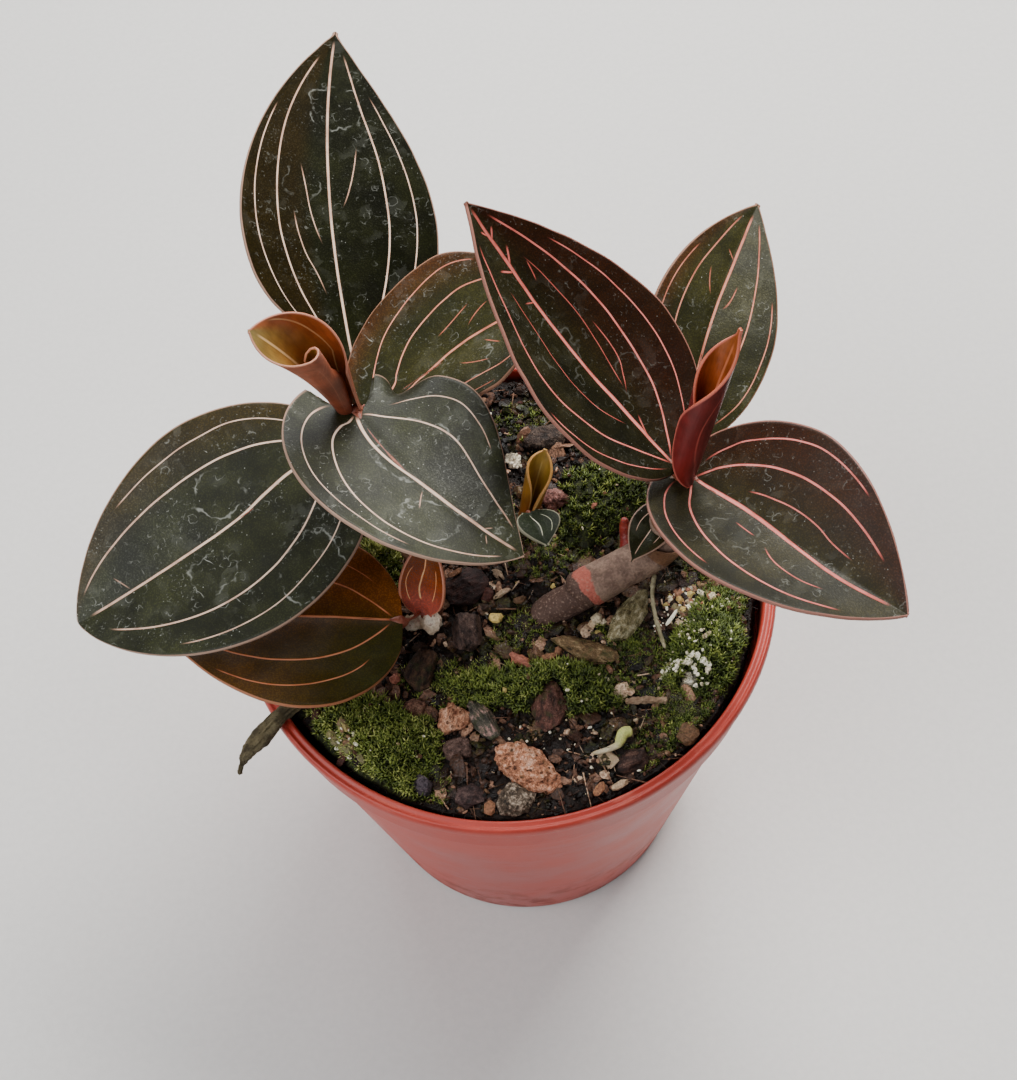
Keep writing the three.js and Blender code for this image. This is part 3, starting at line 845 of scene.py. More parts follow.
@dataclass
class RolledBlade(Blade):
    """A young leaf that is still wound into a roll."""

    neck: float = 2.6
    radii: Pair = (2.0, 5.0)
    curl: float = 0.0
    inner: "SatinFinish | None" = None
    outer: "SatinFinish | None" = None
    rows: int = 96
    columns: int = 80
    thickness: float = 0.45

    def point(self, along: float, across: float) -> Vector:
        """Place a point of the roll, whose far edge may wind up tighter.

        Args:
            along: Its share of the way to the tip.
            across: Its side, from -1 to 1.

        Returns:
            The point, in millimetres.
        """
        _, side, up = self.axes(along)
        radius = self.radii[0] + (self.radii[1] - self.radii[0]) * along ** 1.5
        turn = across * min(self.half(along, across, self.neck) / radius, MOST_TURN)
        start = MOST_TURN - UNWIND * min(1.0, max(0.0, (along - UNWIND_FROM) / UNWIND_OVER))
        open_turn = min(turn, start) if self.curl else turn
        wound = radius - LAP * open_turn / (2.0 * pi)
        way_in = up * cos(open_turn) - side * sin(open_turn)
        spot = self.rib(along) + up * radius - way_in * wound
        if open_turn < turn:
            tight = wound * self.curl
            bend = min((turn - start) * radius / tight, MOST_BEND)
            ahead = side * cos(start) + up * sin(start)
            spot += way_in * tight * (1.0 - cos(bend)) + ahead * tight * sin(bend)
        return spot

    def law(self, share: float, across: float) -> Spot:
        """Place one point of the roll's fine sheet."""
        along = 0.5 * (1.0 - cos(pi * share))
        return Spot(self.point(along, across), along, across, self.half(along, across, self.neck))

    def build(self, inner: Material, outer: Material) -> None:
        """Make the roll.

        Args:
            inner: The finish of the side that is turned in.
            outer: The finish of the side that shows.
        """
        sheet = shaped_sheet(self.rows, self.columns, self.law)
        piece = make_piece(f"{self.name}_roll", sheet, inner, outer)
        thicken(piece, self.thickness)
        settle(piece, "new_leaf", self.name)


def thicken(piece: Piece, thickness: float) -> None:
    """Give a sheet its thickness in millimetres, with its second finish on the back."""
    wall = piece.modifiers.new("thickness", "SOLIDIFY")
    wall.thickness = thickness * MM
    wall.offset = 0.0
    wall.material_offset = 1


class Chart:
    """A blade's own chart as a material reads it."""

    def __init__(self, sheet: Sheet) -> None:
        """Read the chart's terms: along, across, the half width and the way to the margin.

        Args:
            sheet: The material's sheet.
        """
        blade = sheet.node("ShaderNodeUVMap", {"uv_map": "blade"})
        span = sheet.node("ShaderNodeUVMap", {"uv_map": "span"})
        self.along, self.across, _ = blade.parts()
        self.half = span.parts()[0]
        self.edge = (1.0 - abs(self.across)) * self.half
        flat = {0: self.along * 40.0, 1: self.across * self.half, 2: self.half * 0.1}
        self.place = sheet.node("ShaderNodeCombineXYZ", {}, flat)

    def lines(self, blade: Blade) -> Term:
        """Draw a blade's veins.

        Args:
            blade: The blade.

        Returns:
            How far each place is vein, from 0 to 1.
        """
        lines: Term | None = None
        for vein in blade.veins:
            first, last = vein.points[0][0], vein.points[-1][0]
            fade = min(0.05, 0.3 * (last - first))
            width = self.along.curve(blade.spread(vein)) * (SPREAD_RANGE * 0.5 * vein.width)
            distance = abs(self.across - self.along.curve(vein.points)) * self.half
            line = (distance / width).smooth(1.3, 0.55, 0.0, vein.strength)
            line = line * self.along.smooth(first - 0.004, first + fade)
            line = line * self.along.smooth(last + 0.004, last - fade)
            line = line * self.along.smooth(0.25, 1.0, 1.0, 0.72)
            lines = line if lines is None else lines.most(line)
        return lines


@dataclass(frozen=True)
class VelvetFinish:
    """The upper side of an open leaf: dark velvet cells with painted sparkle, washes (those across the
    blade paint the velvet's brown-red sheen), painted light and shade for each leaf, pale veins, a thin
    margin and dust.
    """

    deep: Colour
    pale: Colour
    washes: tuple[Wash, ...]
    vein: Colour
    vein_edge: Colour
    margin: Colour
    dust: float = 1.0
    gloss: float = 0.16
    rough: float = 0.42

    def material(self, blade: FlatBlade) -> Material:
        """Make the finish for one blade, with its own veins.

        Args:
            blade: The blade.

        Returns:
            The material.
        """
        sheet = Sheet(f"{blade.name}_velvet")
        chart = Chart(sheet)
        broad = sheet.grain(9.0, 4.0)
        lines = chart.lines(blade)
        cells = sheet.cells(0.3)
        colour = sheet.mix(broad.smooth(0.32, 0.68), self.deep, self.pale)
        # Washes across the blade are painted sheen: the brown-red that the velvet shows at some angles,
        # laid on as colour.
        for wash in self.washes:
            share = (chart.across * blade.flush).smooth(*wash.across) * chart.along.smooth(*wash.along)
            colour = sheet.mix(share * broad.smooth(0.2, 0.62, 0.55, 1.0) * wash.most, colour, wash.tint)
        mosaic = sheet.cells(2.4, "Color", at=sheet.warped(2.2, 1.3))
        # Painted sparkle: each velvet cell is lighter in its middle, as if its dome caught the light; the
        # mosaic gives patches of cells their own tone.
        light = cells.smooth(0.05, 0.62, 1.4, 0.7) * mosaic.smooth(0.2, 0.8, 0.9, 1.12)
        # Painted light and shade: blade.shade lightens or darkens the whole leaf for the light that falls
        # on it.
        colour = sheet.shade(colour, light * blade.shade)
        dried = self._dried(sheet, blade, chart, mosaic)
        colour = sheet.mix(dried * (self.dust * min(1.0, blade.shade)), colour, DUST)
        margin = chart.edge.smooth(0.26, 0.08) * chart.along.smooth(0.0, 0.05)
        worn = lines * sheet.grain(2.4, 3.0).smooth(0.3, 0.6, 0.78, 1.0)
        line_colour = sheet.mix(worn.smooth(0.5, 1.0), self.vein_edge, self.vein)
        colour = sheet.mix(worn.smooth(0.0, 0.75), colour, line_colour)
        colour = sheet.mix(margin * 0.8, colour, self.margin)
        rough = cells.smooth(0.05, 0.6, self.rough - 0.08, self.rough + 0.08)
        height = cells * -0.4 + lines * -0.7
        return sheet.finish(colour, rough, height, 0.05, gloss=self.gloss * blade.shade ** 3)

    def _dried(self, sheet: Sheet, blade: FlatBlade, chart: Chart, mosaic: Term) -> Term:
        """Find where a blade is pale with dried water, dust, scratches and flaked cells.

        Args:
            sheet: The material's sheet.
            blade: The blade.
            chart: Its chart.
            mosaic: A tone for each patch of cells.

        Returns:
            How pale each place is, from 0 to 1.
        """
        wobble = sheet.grain(2.6, 2.0) - 0.5
        zones = sheet.grain(11.0, 3.0).smooth(0.42, 0.58)
        broken = sheet.grain(3.2, 4.0).smooth(0.44, 0.6)
        ring = abs(sheet.cells(2.3, at=sheet.warped(1.3, 0.8)) - 0.36).smooth(0.05, 0.0)
        flakes = ring * sheet.grain(1.5, 3.0).smooth(0.46, 0.62) * zones * 0.34
        film = mosaic.smooth(0.5, 0.66) * broken * zones * 0.05
        specks = sheet.cells(0.9).smooth(0.13, 0.05) * sheet.grain(3.6).smooth(0.52, 0.64)
        bent = sheet.stretched((0.1, 1.3, 1.0), 35.0, at=sheet.warped(6.0, 2.0))
        scratch = sheet.grain(0.8, 2.0, at=bent).smooth(0.73, 0.79) * sheet.grain(2.0).smooth(0.42, 0.54)
        frost = sheet.grain(0.42, 3.0).smooth(0.58, 0.78) * sheet.grain(6.0, 4.0).smooth(0.46, 0.68)
        dried = (flakes + film).most(specks * 0.8).most(scratch * 0.55).most(frost * 0.42)
        for mark in blade.marks:
            x = (chart.along - mark.along) * blade.length
            y = (chart.across - mark.across) * chart.half
            gap = abs((x * x + y * y) ** 0.5 + wobble * 4.0 - mark.radius)
            dried = dried.most(gap.smooth(0.3, 0.0, 0.0, mark.strength) * broken)
        return dried


@dataclass(frozen=True)
class SatinFinish:
    """A smooth side of a leaf: the underside, or a young leaf's skin, shaded from base to tip."""

    name: str
    stops: tuple[tuple[float, Colour], ...]
    vein: Colour
    margin: Colour
    far: Colour | None = None
    rough: float = 0.42
    mottle: float = 0.25

    def material(self, blade: Blade) -> Material:
        """Make the finish for one blade.

        Args:
            blade: The blade.

        Returns:
            The material.
        """
        sheet = Sheet(f"{blade.name}_{self.name}")
        chart = Chart(sheet)
        broad = sheet.grain(4.5, 4.0)
        fibres = sheet.grain(0.5, 2.0, at=sheet.stretched((0.12, 1.0, 1.0), at=chart.place))
        colour = sheet.ramp(chart.along + (broad - 0.5) * 0.16, self.stops)
        if self.far is not None:
            far_side = (chart.across + broad * 0.3).smooth(-0.2, -0.6, 0.0, 0.85)
            colour = sheet.mix(far_side, colour, self.far)
        light = broad.smooth(0.3, 0.7, 1.0 - self.mottle, 1.0 + self.mottle)
        colour = sheet.shade(colour, light * fibres.smooth(0.3, 0.7, 0.9, 1.1))
        if blade.veins:
            colour = sheet.mix(chart.lines(blade) * 0.85, colour, self.vein)
        colour = sheet.mix(chart.edge.smooth(0.34, 0.1) * 0.8, colour, self.margin)
        return sheet.finish(colour, self.rough, fibres + broad * 2.0, 0.05, gloss=0.45)


# ---- the plant ----


class Look(Enum):
    """The upper side of an open leaf."""

    OLIVE = "olive"
    MOSSY = "mossy"
    MAROON = "maroon"
    COPPER = "copper"
    SAGE = "sage"
    YOUNG = "young"


# The brown-red washes across the blades are painted sheen, standing for the velvet's colour at some
# angles.
VELVETS = {
    Look.OLIVE: VelvetFinish(
        deep=(26, 27, 12), pale=(44, 46, 23), washes=(Wash((54, 43, 14), across=(0.4, 1.0)),),
        vein=(242, 217, 194), vein_edge=(198, 156, 132), margin=(182, 146, 126),
    ),
    Look.MOSSY: VelvetFinish(
        deep=(38, 38, 14), pale=(58, 56, 24), washes=(Wash((74, 40, 16), across=(0.5, 1.1)),),
        vein=(232, 164, 138), vein_edge=(188, 104, 82), margin=(170, 124, 100), dust=0.8,
    ),
    Look.MAROON: VelvetFinish(
        deep=(27, 26, 10), pale=(46, 42, 19), washes=(Wash((48, 23, 8), across=(-0.1, 0.6)),),
        vein=(232, 142, 132), vein_edge=(196, 94, 84), margin=(170, 116, 102), dust=0.5,
    ),
    Look.COPPER: VelvetFinish(
        deep=(64, 42, 4), pale=(86, 54, 8),
        washes=(
            Wash((132, 74, 20), across=(0.5, -0.5)),
            Wash((50, 50, 6), across=(-0.4, 0.3), along=(0.6, 0.1)),
        ),
        vein=(220, 140, 96), vein_edge=(190, 104, 62), margin=(176, 112, 78), dust=0.06, rough=0.34,
    ),
    Look.SAGE: VelvetFinish(
        deep=(36, 44, 28), pale=(54, 64, 42), washes=(), vein=(240, 238, 216), vein_edge=(176, 180, 150),
        margin=(176, 172, 146), dust=0.3,
    ),
    Look.YOUNG: VelvetFinish(
        deep=(138, 58, 16), pale=(160, 78, 26),
        washes=(Wash((176, 80, 64), along=(0.55, 0.15)), Wash((104, 56, 14), along=(0.5, 0.8))),
        vein=(250, 214, 160), vein_edge=(236, 150, 96), margin=(214, 140, 110), dust=0.0, gloss=0.5,
        rough=0.25,
    ),
}

BURGUNDY = SatinFinish(
    "underside", stops=((0.0, (104, 32, 28)), (0.3, (78, 18, 20)), (1.0, (66, 14, 18))),
    vein=(140, 60, 52), margin=(176, 116, 100),
)
ROLL_INSIDE = SatinFinish(
    "inside", stops=((0.0, (120, 58, 30)), (0.5, (166, 108, 50)), (1.0, (128, 110, 52))),
    vein=(246, 204, 146), margin=(204, 136, 112), far=(166, 84, 44),
)
ROLL_EMBER = SatinFinish(
    "inside", stops=((0.0, (110, 40, 14)), (0.5, (146, 64, 20)), (1.0, (140, 72, 26))),
    vein=(220, 130, 90), margin=(214, 112, 88),
)
ROLL_AMBER = SatinFinish(
    "inside", stops=((0.0, (60, 32, 12)), (0.45, (120, 84, 26)), (1.0, (170, 134, 46))),
    vein=(226, 196, 110), margin=(206, 150, 84),
)
ROLL_OUTSIDE = SatinFinish(
    "outside",
    stops=((0.0, (84, 30, 20)), (0.2, (146, 74, 50)), (0.8, (168, 94, 66)), (1.0, (154, 78, 54))),
    vein=(190, 116, 88), margin=(222, 150, 124),
)
ROLL_DARK = SatinFinish(
    "dark_outside", stops=((0.0, (124, 34, 28)), (0.3, (106, 28, 26)), (1.0, (92, 26, 24))),
    vein=(200, 92, 80), margin=(214, 112, 96),
)
ROLL_GOLD = SatinFinish(
    "golden_outside", stops=((0.0, (124, 56, 32)), (0.4, (140, 80, 26)), (1.0, (176, 132, 44))),
    vein=(236, 190, 110), margin=(236, 190, 120),
)

# Each leaf's shade is painted light and shade, set for how brightly that leaf is lit.
OPEN_LEAVES = (
    FlatBlade(
        "leaf_left_front", base=(-19.8, 10, 118.2), foot=(-20.2, 10.9, 113), length=36, half_width=15.8,
        heading=-47.5, sway=45, pitch=15, droop=46, roll=-10.5, fold=5.5, cup=85, widest=0.345,
        taper=0.94, uneven=0.05, lobes=(9, 9.4),
        ruffles=(Ruffle(side=1, at=0.085, span=0.041, lift=-3.3, tuck=2.6),), look=Look.OLIVE, shade=1.2,
        flush=0,
        veins=(
            Vein((2, -7, 20, -8, 50, 1, 97, 0), 0.56),
            Vein((2, 6, 10, 25, 40, 54, 78, 56, 85, 62, 92, 72)),
            Vein((8, 46, 15, 64, 25, 79, 45, 84, 62, 84), 0.22, 0.85),
            Vein((2, -12, 7, -22, 10, -35, 20, -51, 80, -73, 92, -66)),
            Vein((2, -50, 6, -70, 10, -76, 20, -82, 50, -84, 64, -87), 0.22, 0.85),
            Vein((51, -6, 56, -28), 0.18, 0.7), Vein((82, -8, 84, -30), 0.18, 0.6),
            Vein((80, 4, 83, 16), 0.18, 0.6),
        ),
        marks=(Watermark(0.34, 0.2, 5.5, 0.35), Watermark(0.62, -0.34, 3.6, 0.4)),
    ),
    FlatBlade(
        "leaf_right_large", base=(27.4, -2.9, 113.1), foot=(28.9, -3, 109.5), length=51, half_width=16.2,
        heading=133, sway=-2, pitch=25.5, droop=-24, roll=17.5, fold=14, cup=600, widest=0.375,
        taper=1.01, uneven=-0.05, look=Look.MAROON, shade=0.75, flush=-1,
        veins=(
            Vein((1, 3, 10, 0, 50, 1, 70, 0, 80, -3, 99, 0), 0.7),
            Vein((2, 5, 15, 42, 30, 62, 50, 72, 80, 70, 90, 76), 0.34),
            Vein((2, 30, 5, 55, 10, 70, 15, 79, 30, 92, 42, 95), 0.24, 0.85),
            Vein((20, 13, 26, 24, 32, 31, 40, 35, 70, 36, 74, 41), 0.16, 0.7),
            Vein((3, -2, 10, -26, 20, -41, 30, -47, 70, -60, 94, -60), 0.34),
            Vein((8, -62, 20, -72, 40, -78, 77, -84), 0.24, 0.9),
            Vein((28, -16, 70, -33, 78, -31), 0.16, 0.65),
            Vein((26, -13, 31, -24, 37, -33, 50, -36), 0.18, 0.7), Vein((69, -20, 76, -31), 0.21, 0.7),
            Vein((75.5, -2, 79, 33), 0.32, 0.9), Vein((77.5, -3, 83, -24), 0.32, 0.9),
            Vein((86.5, -3, 90, -30), 0.29, 0.9), Vein((88.5, 0, 91, 30), 0.29, 0.9),
            Vein((65, 1, 66.8, 18), 0.21, 0.7), Vein((12, 0, 20, -10), 0.24, 0.7),
        ),
        marks=(Watermark(0.5, 0.18, 4.4, 0.3), Watermark(0.3, -0.3, 3, 0.3)),
    ),
    FlatBlade(
        "leaf_right_front", base=(29.4, -3.2, 111.1), foot=(28.8, -2.4, 107), length=40.5,
        half_width=14.3, heading=-49.5, sway=19, pitch=21.5, droop=27, roll=3.5, fold=21, cup=110,
        widest=0.41, taper=0.9, uneven=0.035, lobes=(4, 4), look=Look.MAROON, shade=1.12, flush=0.65,
        veins=(
            Vein((1, 0, 30, 3.5, 50, 0, 80, -11, 94, -7), 0.63),
            Vein((1, 4, 7, 28, 10, 36, 20, 47, 50, 59, 84, 62), 0.34),
            Vein((3, 42, 6, 58, 10, 68, 15, 75, 67, 90), 0.26, 0.9),
            Vein((25, 20, 35, 26, 55, 29, 65, 24, 74, 24), 0.22, 0.8),
            Vein((1, -4, 3, -13, 10, -32, 20, -51, 50, -70, 82, -80), 0.32),
            Vein((2, -45, 7, -68, 12, -76, 20, -83, 42, -88), 0.24, 0.85),
            Vein((31, -19, 41, -20), 0.21, 0.7), Vein((46, -24, 62, -43, 73, -43), 0.22, 0.8),
        ),
        marks=(Watermark(0.35, -0.3, 3.4, 0.3),),
    ),
    FlatBlade(
        "leaf_left_middle", base=(-18.7, 17.1, 107.9), foot=(-19.8, 10.9, 108.6), length=35.3,
        half_width=15.8, heading=19, sway=-14, pitch=15.5, droop=-7.5, roll=-11.5, fold=9.5, cup=200,
        widest=0.57, taper=0.96, uneven=0.155, lobes=(3, 1), look=Look.MOSSY,
        veins=(
            Vein((3, -10, 20, -12, 25, -5, 30, -1, 50, 5, 97, 0), 0.42),
            Vein((3, 0, 16, 12, 20, 23, 30, 40, 40, 48, 88, 66)),
            Vein((6, 25, 20, 62, 30, 72, 74, 90), 0.24, 0.9), Vein((43, 26, 55, 33, 63, 40), 0.2, 0.75),
            Vein((57, 17, 65, 28, 71, 34), 0.2, 0.75),
            Vein((5, -20, 32, -58, 45, -64, 55, -65, 70, -75, 85, -78), 0.29),
            Vein((8, -60, 20, -78, 40, -86, 60, -90), 0.21, 0.8),
            Vein((46, -20, 50, -30, 61, -49), 0.2, 0.75), Vein((61, -8, 68, -31), 0.2, 0.75),
        ),
        marks=(Watermark(0.5, -0.35, 4, 0.35),),
    ),
    FlatBlade(
        "leaf_left_tall", base=(-20.7, 25, 105.3), foot=(-19.5, 10.6, 105.2), length=68, half_width=16.3,
        heading=89, sway=-13.5, pitch=28, droop=32, roll=17, fold=7, cup=110, widest=0.375, taper=1.15,
        uneven=-0.03, lobes=(-9, 0), look=Look.OLIVE, shade=0.52, flush=2.2, rows=110,
        veins=(
            Vein((2, 0, 60, 3, 97, 2), 0.52), Vein((2, 6, 16, 42, 30, 55, 50, 62, 80, 66, 90, 60), 0.32),
            Vein((5, 40, 10, 60, 17, 72, 25, 78, 40, 84, 72, 90), 0.24, 0.9),
            Vein((21, 18, 26, 24, 33, 36, 43, 43), 0.22, 0.8),
            Vein((34, 14, 42, 24, 50, 30, 56, 37), 0.22, 0.8),
            Vein((2, -8, 10, -30, 25, -48, 55, -56, 80, -53, 92, -59), 0.32),
            Vein((6, -50, 14, -68, 25, -76, 50, -82, 78, -78), 0.24, 0.9),
            Vein((44, -10, 50, -20, 62, -34), 0.22, 0.8),
        ),
        marks=(
            Watermark(0.73, -0.1, 4.6, 0.55), Watermark(0.5, 0.35, 3, 0.35),
            Watermark(0.62, -0.5, 2.6, 0.3),
        ),
    ),
    FlatBlade(
        "leaf_left_large", base=(-23.3, 12.6, 105.8), foot=(-18.2, 8.8, 102.4), length=50.8,
        half_width=18.8, heading=-156, sway=-11, pitch=-7, droop=13.5, roll=-11.5, fold=7, cup=200,
        widest=0.43, taper=0.72, uneven=0.055, lobes=(2, 1.5), look=Look.OLIVE, shade=1.15, flush=-1,
        rows=100, columns=54,
        veins=(
            Vein((2, -4, 15, -11, 28, -6, 40, 0, 60, 2, 96, 2), 0.49),
            Vein((3, 2, 20, 36, 33, 50, 40, 54, 70, 60, 92, 52), 0.33),
            Vein((6, 40, 15, 67, 35, 79, 45, 82, 74, 86), 0.24, 0.85),
            Vein((3, -12, 10, -38, 16, -48, 30, -55, 55, -58, 95, -66), 0.33),
            Vein((5, -50, 13, -75, 25, -83, 35, -82, 60, -84, 72, -88), 0.24, 0.85),
            Vein((80, -2, 83, -30), 0.2, 0.6),
        ),
        marks=(
            Watermark(0.3, 0.78, 5, 0.5), Watermark(0.55, 0.3, 3.6, 0.35),
            Watermark(0.4, -0.3, 4.2, 0.35),
        ),
    ),
    FlatBlade(
        "leaf_left_low", base=(-17.6, -9, 86), foot=(-13.9, -2.6, 79.5), length=40.5, half_width=16.6,
        heading=175.5, sway=-3.5, pitch=16, droop=20.5, roll=5, fold=5.5, cup=200, widest=0.38,
        taper=1.01, uneven=0.09, lobes=(0.5, 0.5), look=Look.COPPER, stalk=0.2, slot="brown_leaf",
        veins=(
            Vein((2, 0, 97, 0), 0.49), Vein((4, 6, 12, 28, 25, 43, 50, 51, 74, 54, 90, 52), 0.32),
            Vein((13, 58, 20, 68, 30, 73, 72, 87), 0.26, 0.9),
            Vein((3, -7, 18, -35, 25, -41, 32, -44, 60, -50, 85, -50), 0.32),
            Vein((10, -58, 15, -64, 20, -67, 50, -78), 0.24, 0.8),
        ),
    ),
    FlatBlade(
        "leaf_right_back", base=(29.8, 6.2, 106.2), foot=(28.6, -1.6, 103.5), length=43.8,
        half_width=10.5, heading=65.5, sway=-13.5, pitch=26, droop=27.5, roll=21.5, fold=10, cup=170,
        widest=0.42, taper=1.03, uneven=-0.01, look=Look.MOSSY,
        veins=(
            Vein((2, 0, 50, -1, 80, -7, 95, -6), 0.49),
            Vein((4, 15, 12, 38, 25, 51, 60, 58, 80, 54, 92, 60), 0.26),
            Vein((15, 76, 30, 83, 43, 85, 55, 86, 72, 84), 0.21, 0.85),
            Vein((4, -15, 12, -34, 25, -46, 60, -58, 92, -63), 0.26),
            Vein((7, -60, 13, -77, 20, -85, 35, -88, 62, -90), 0.21, 0.85),
            Vein((55, 15, 60, 27, 66, 37), 0.21, 0.75), Vein((51.5, -3, 54, -17, 63, -26), 0.21, 0.75),
            Vein((72.5, -2, 75.5, 20), 0.21, 0.75),
        ),
    ),
    FlatBlade(
        "leaf_right_small", base=(27.1, 4.1, 89.9), foot=(27.3, 2, 88.5), length=11.5, half_width=3.6,
        heading=-127, pitch=19, droop=40, roll=-2, fold=9.5, cup=60, widest=0.42, taper=1.14,
        lobes=(2, 2), look=Look.OLIVE, rows=36, columns=20,
        veins=(
            Vein((2, 0, 50, 2, 90, -10), 0.21), Vein((10, 40, 30, 55, 65, 60), 0.14, 0.8),
            Vein((10, -40, 30, -55, 60, -58), 0.14, 0.8),
        ),
    ),
    FlatBlade(
        "leaf_centre_small", base=(4.9, 8.6, 86), foot=(5, 9.9, 82.6), length=7.2, half_width=3.8,
        heading=-71.5, pitch=14, droop=26.5, roll=-13.5, fold=11.5, cup=60, widest=0.42, taper=1.15,
        uneven=0.1, look=Look.SAGE, rows=30, columns=20,
        veins=(Vein((5, -10, 30, 8, 50, 13, 75, 5), 0.19), Vein((15, 45, 40, 60, 72, 62), 0.13, 0.8)),
    ),
    FlatBlade(
        "bud_leaf_left", base=(-14.3, -6.3, 82.2), foot=(-13.6, -3.6, 79.3), length=14, half_width=4.2,
        heading=74, pitch=62, droop=10, fold=4, cup=5.5, widest=0.42, taper=0.9, look=Look.YOUNG,
        slot="new_leaf", rows=40, columns=26,
        veins=(
            Vein((20, 12, 35, 20, 50, 12, 70, -3, 90, -2), 0.3),
            Vein((20, 60, 40, 72, 50, 75, 68, 50), 0.17, 0.8),
            Vein((20, -44, 30, -50, 65, -60), 0.17, 0.8),
        ),
    ),
)

ROLLED_LEAVES = (
    RolledBlade(
        "rolled_leaf_left", base=(-22.2, 10.9, 116), length=32, half_width=15.8, heading=210, sway=-19,
        pitch=77.5, droop=13, roll=-28, widest=0.47, taper=1.03, uneven=0.33, neck=2.6, radii=(1.3, 6.1),
        curl=0.34, thickness=0.3, inner=ROLL_INSIDE, outer=ROLL_OUTSIDE,
        veins=(
            Vein((10, -4, 95, -5), 0.49), Vein((10, -55, 60, -62, 70, -68, 90, -88), 0.26, 0.8),
            Vein((10, 40, 40, 50, 90, 50), 0.26, 0.6),
        ),
    ),
    RolledBlade(
        "rolled_leaf_right", base=(29.1, -3.8, 111.4), length=33.5, half_width=7.5, heading=21.5, sway=3,
        pitch=78.5, droop=-1, roll=-9.5, widest=0.45, taper=1.32, uneven=0.09, neck=2.6,
        radii=(1.8, 2.75), inner=ROLL_EMBER, outer=ROLL_DARK,
        veins=(Vein((30, 6, 55, 10, 92, 10), 0.42), Vein((20, -50, 50, -56, 85, -50), 0.21, 0.6)),
    ),
    RolledBlade(
        "rolled_leaf_centre", base=(4, 10.6, 76.6), length=18, half_width=5, heading=50, sway=10,
        pitch=76, droop=22, roll=12, widest=0.62, taper=1.05, uneven=0.2, neck=1.8, radii=(1.2, 2.4),
        inner=ROLL_AMBER, outer=ROLL_GOLD, rows=60, columns=56, veins=(Vein((10, 0, 90, 0), 0.3, 0.7),),
    ),
)


@dataclass(frozen=True)
class SkinFinish:
    """A stem's skin: a base colour, a flush along part of it, a band, freckles and a fine grain."""

    name: str
    base: Colour
    pale: Colour
    freckle: Colour
    flush: Colour | None = None
    flush_along: Pair = (0.0, 1.0)
    band: tuple[float, float, Colour] | None = None
    rough: float = 0.5
    grain: float = 0.5

    def material(self) -> Material:
        """Make the finish.

        Returns:
            The material.
        """
        sheet = Sheet(self.name)
        chart = Chart(sheet)
        broad = sheet.grain(2.4, 3.0)
        fine = sheet.grain(self.grain, 3.0)
        colour = sheet.mix(broad.smooth(0.35, 0.65), self.base, self.pale)
        if self.flush is not None:
            share = chart.along.smooth(*self.flush_along) * broad.smooth(0.2, 0.5, 0.6, 1.0)
            colour = sheet.mix(share, colour, self.flush)
        if self.band is not None:
            middle, width, tint = self.band
            near = abs(chart.along + (broad - 0.5) * 0.035 - middle).smooth(width, width * 0.7)
            colour = sheet.mix(near, colour, tint)
        colour = sheet.mix(fine.smooth(0.56, 0.7) * 0.75, colour, self.freckle)
        colour = sheet.shade(colour, fine.smooth(0.25, 0.75, 0.75, 1.25))
        return sheet.finish(colour, self.rough, fine + broad * 2.0, 0.16, gloss=0.45)


@dataclass(frozen=True)
class Rod:
    """A round piece along points of x, y, z and radius, with swellings at its joints."""

    name: str
    points: tuple[tuple[float, float, float, float], ...]
    nodes: tuple[str, ...] = ()
    joints: tuple[float, ...] = ()
    joint_swell: float = 0.35
    bumps: float = 0.1
    bump_size: float = 1.5
    ridges: float = 0.0
    rings: int = 90
    sides: int = 24

    def swell(self, share: float, turn: float) -> float:
        """Find how far the skin stands out, in millimetres.

        Args:
            share: How far along the rod.
            turn: The angle round it, in radians.

        Returns:
            The height over the plain radius.
        """
        size = 0.0
        for joint in self.joints:
            size += self.joint_swell * exp(-(((share - joint) / 0.012) ** 2))
        x, y, z, radius = spline(self.points, share)
        seed = Vector((x + radius * cos(turn), y + radius * sin(turn), z)) / self.bump_size
        if self.ridges:
            furrow = Vector((2.6 * cos(turn), 2.6 * sin(turn), 5.0 * share))
            size += self.ridges * noise.fractal(furrow, 0.8, 2.1, 3)
        return size + self.bumps * noise.noise(seed)

    def build(self, finish: Material, slot: str) -> None:
        """Args:
            finish: Its finish.
            slot: The name of its material slot, which is only reported.
        """
        rod = tube(self.points, self.rings, self.sides, self.swell)
        settle(make_piece(self.name, rod, finish), slot, *self.nodes)


LEFT_STEM = Rod(
    "left_stem_skin",
    points=(
        (-13.7, -8, 68, 2.2), (-13.9, -3.4, 77, 2.5), (-13.3, 1.6, 85, 2.7), (-13.6, 3.4, 88.5, 3.1),
        (-15.2, 6, 95, 2.6), (-17.4, 8.3, 101.5, 2.7), (-19, 9.8, 107, 2.4), (-20.2, 10.8, 112.5, 2.4),
        (-20.6, 11, 115.3, 1.9),
    ),
    nodes=("left_stem",), joints=(0.14, 0.36, 0.6, 0.76, 0.88),
)
RIGHT_STEM = Rod(
    "right_stem_skin",
    points=(
        (-3, -9, 70.5, 1.2), (1.5, -7.4, 72.4, 1.6), (6, -5.2, 75.6, 2.8), (11.8, -4.2, 79.3, 2.8),
        (13.2, -3.7, 80.4, 3.5), (18.6, -2, 82, 3.3), (23.4, -0.5, 83.6, 3.3), (26.4, 0.6, 87, 3.4),
        (27.4, 0.9, 92, 3), (28, 0, 98, 2.9), (28.6, -1.7, 104, 2.6), (29, -3, 109, 2.4),
        (29.2, -3.6, 111.8, 1.9),
    ),
    nodes=("right_stem",), joints=(0.31, 0.52, 0.66, 0.8, 0.92), rings=130,
)
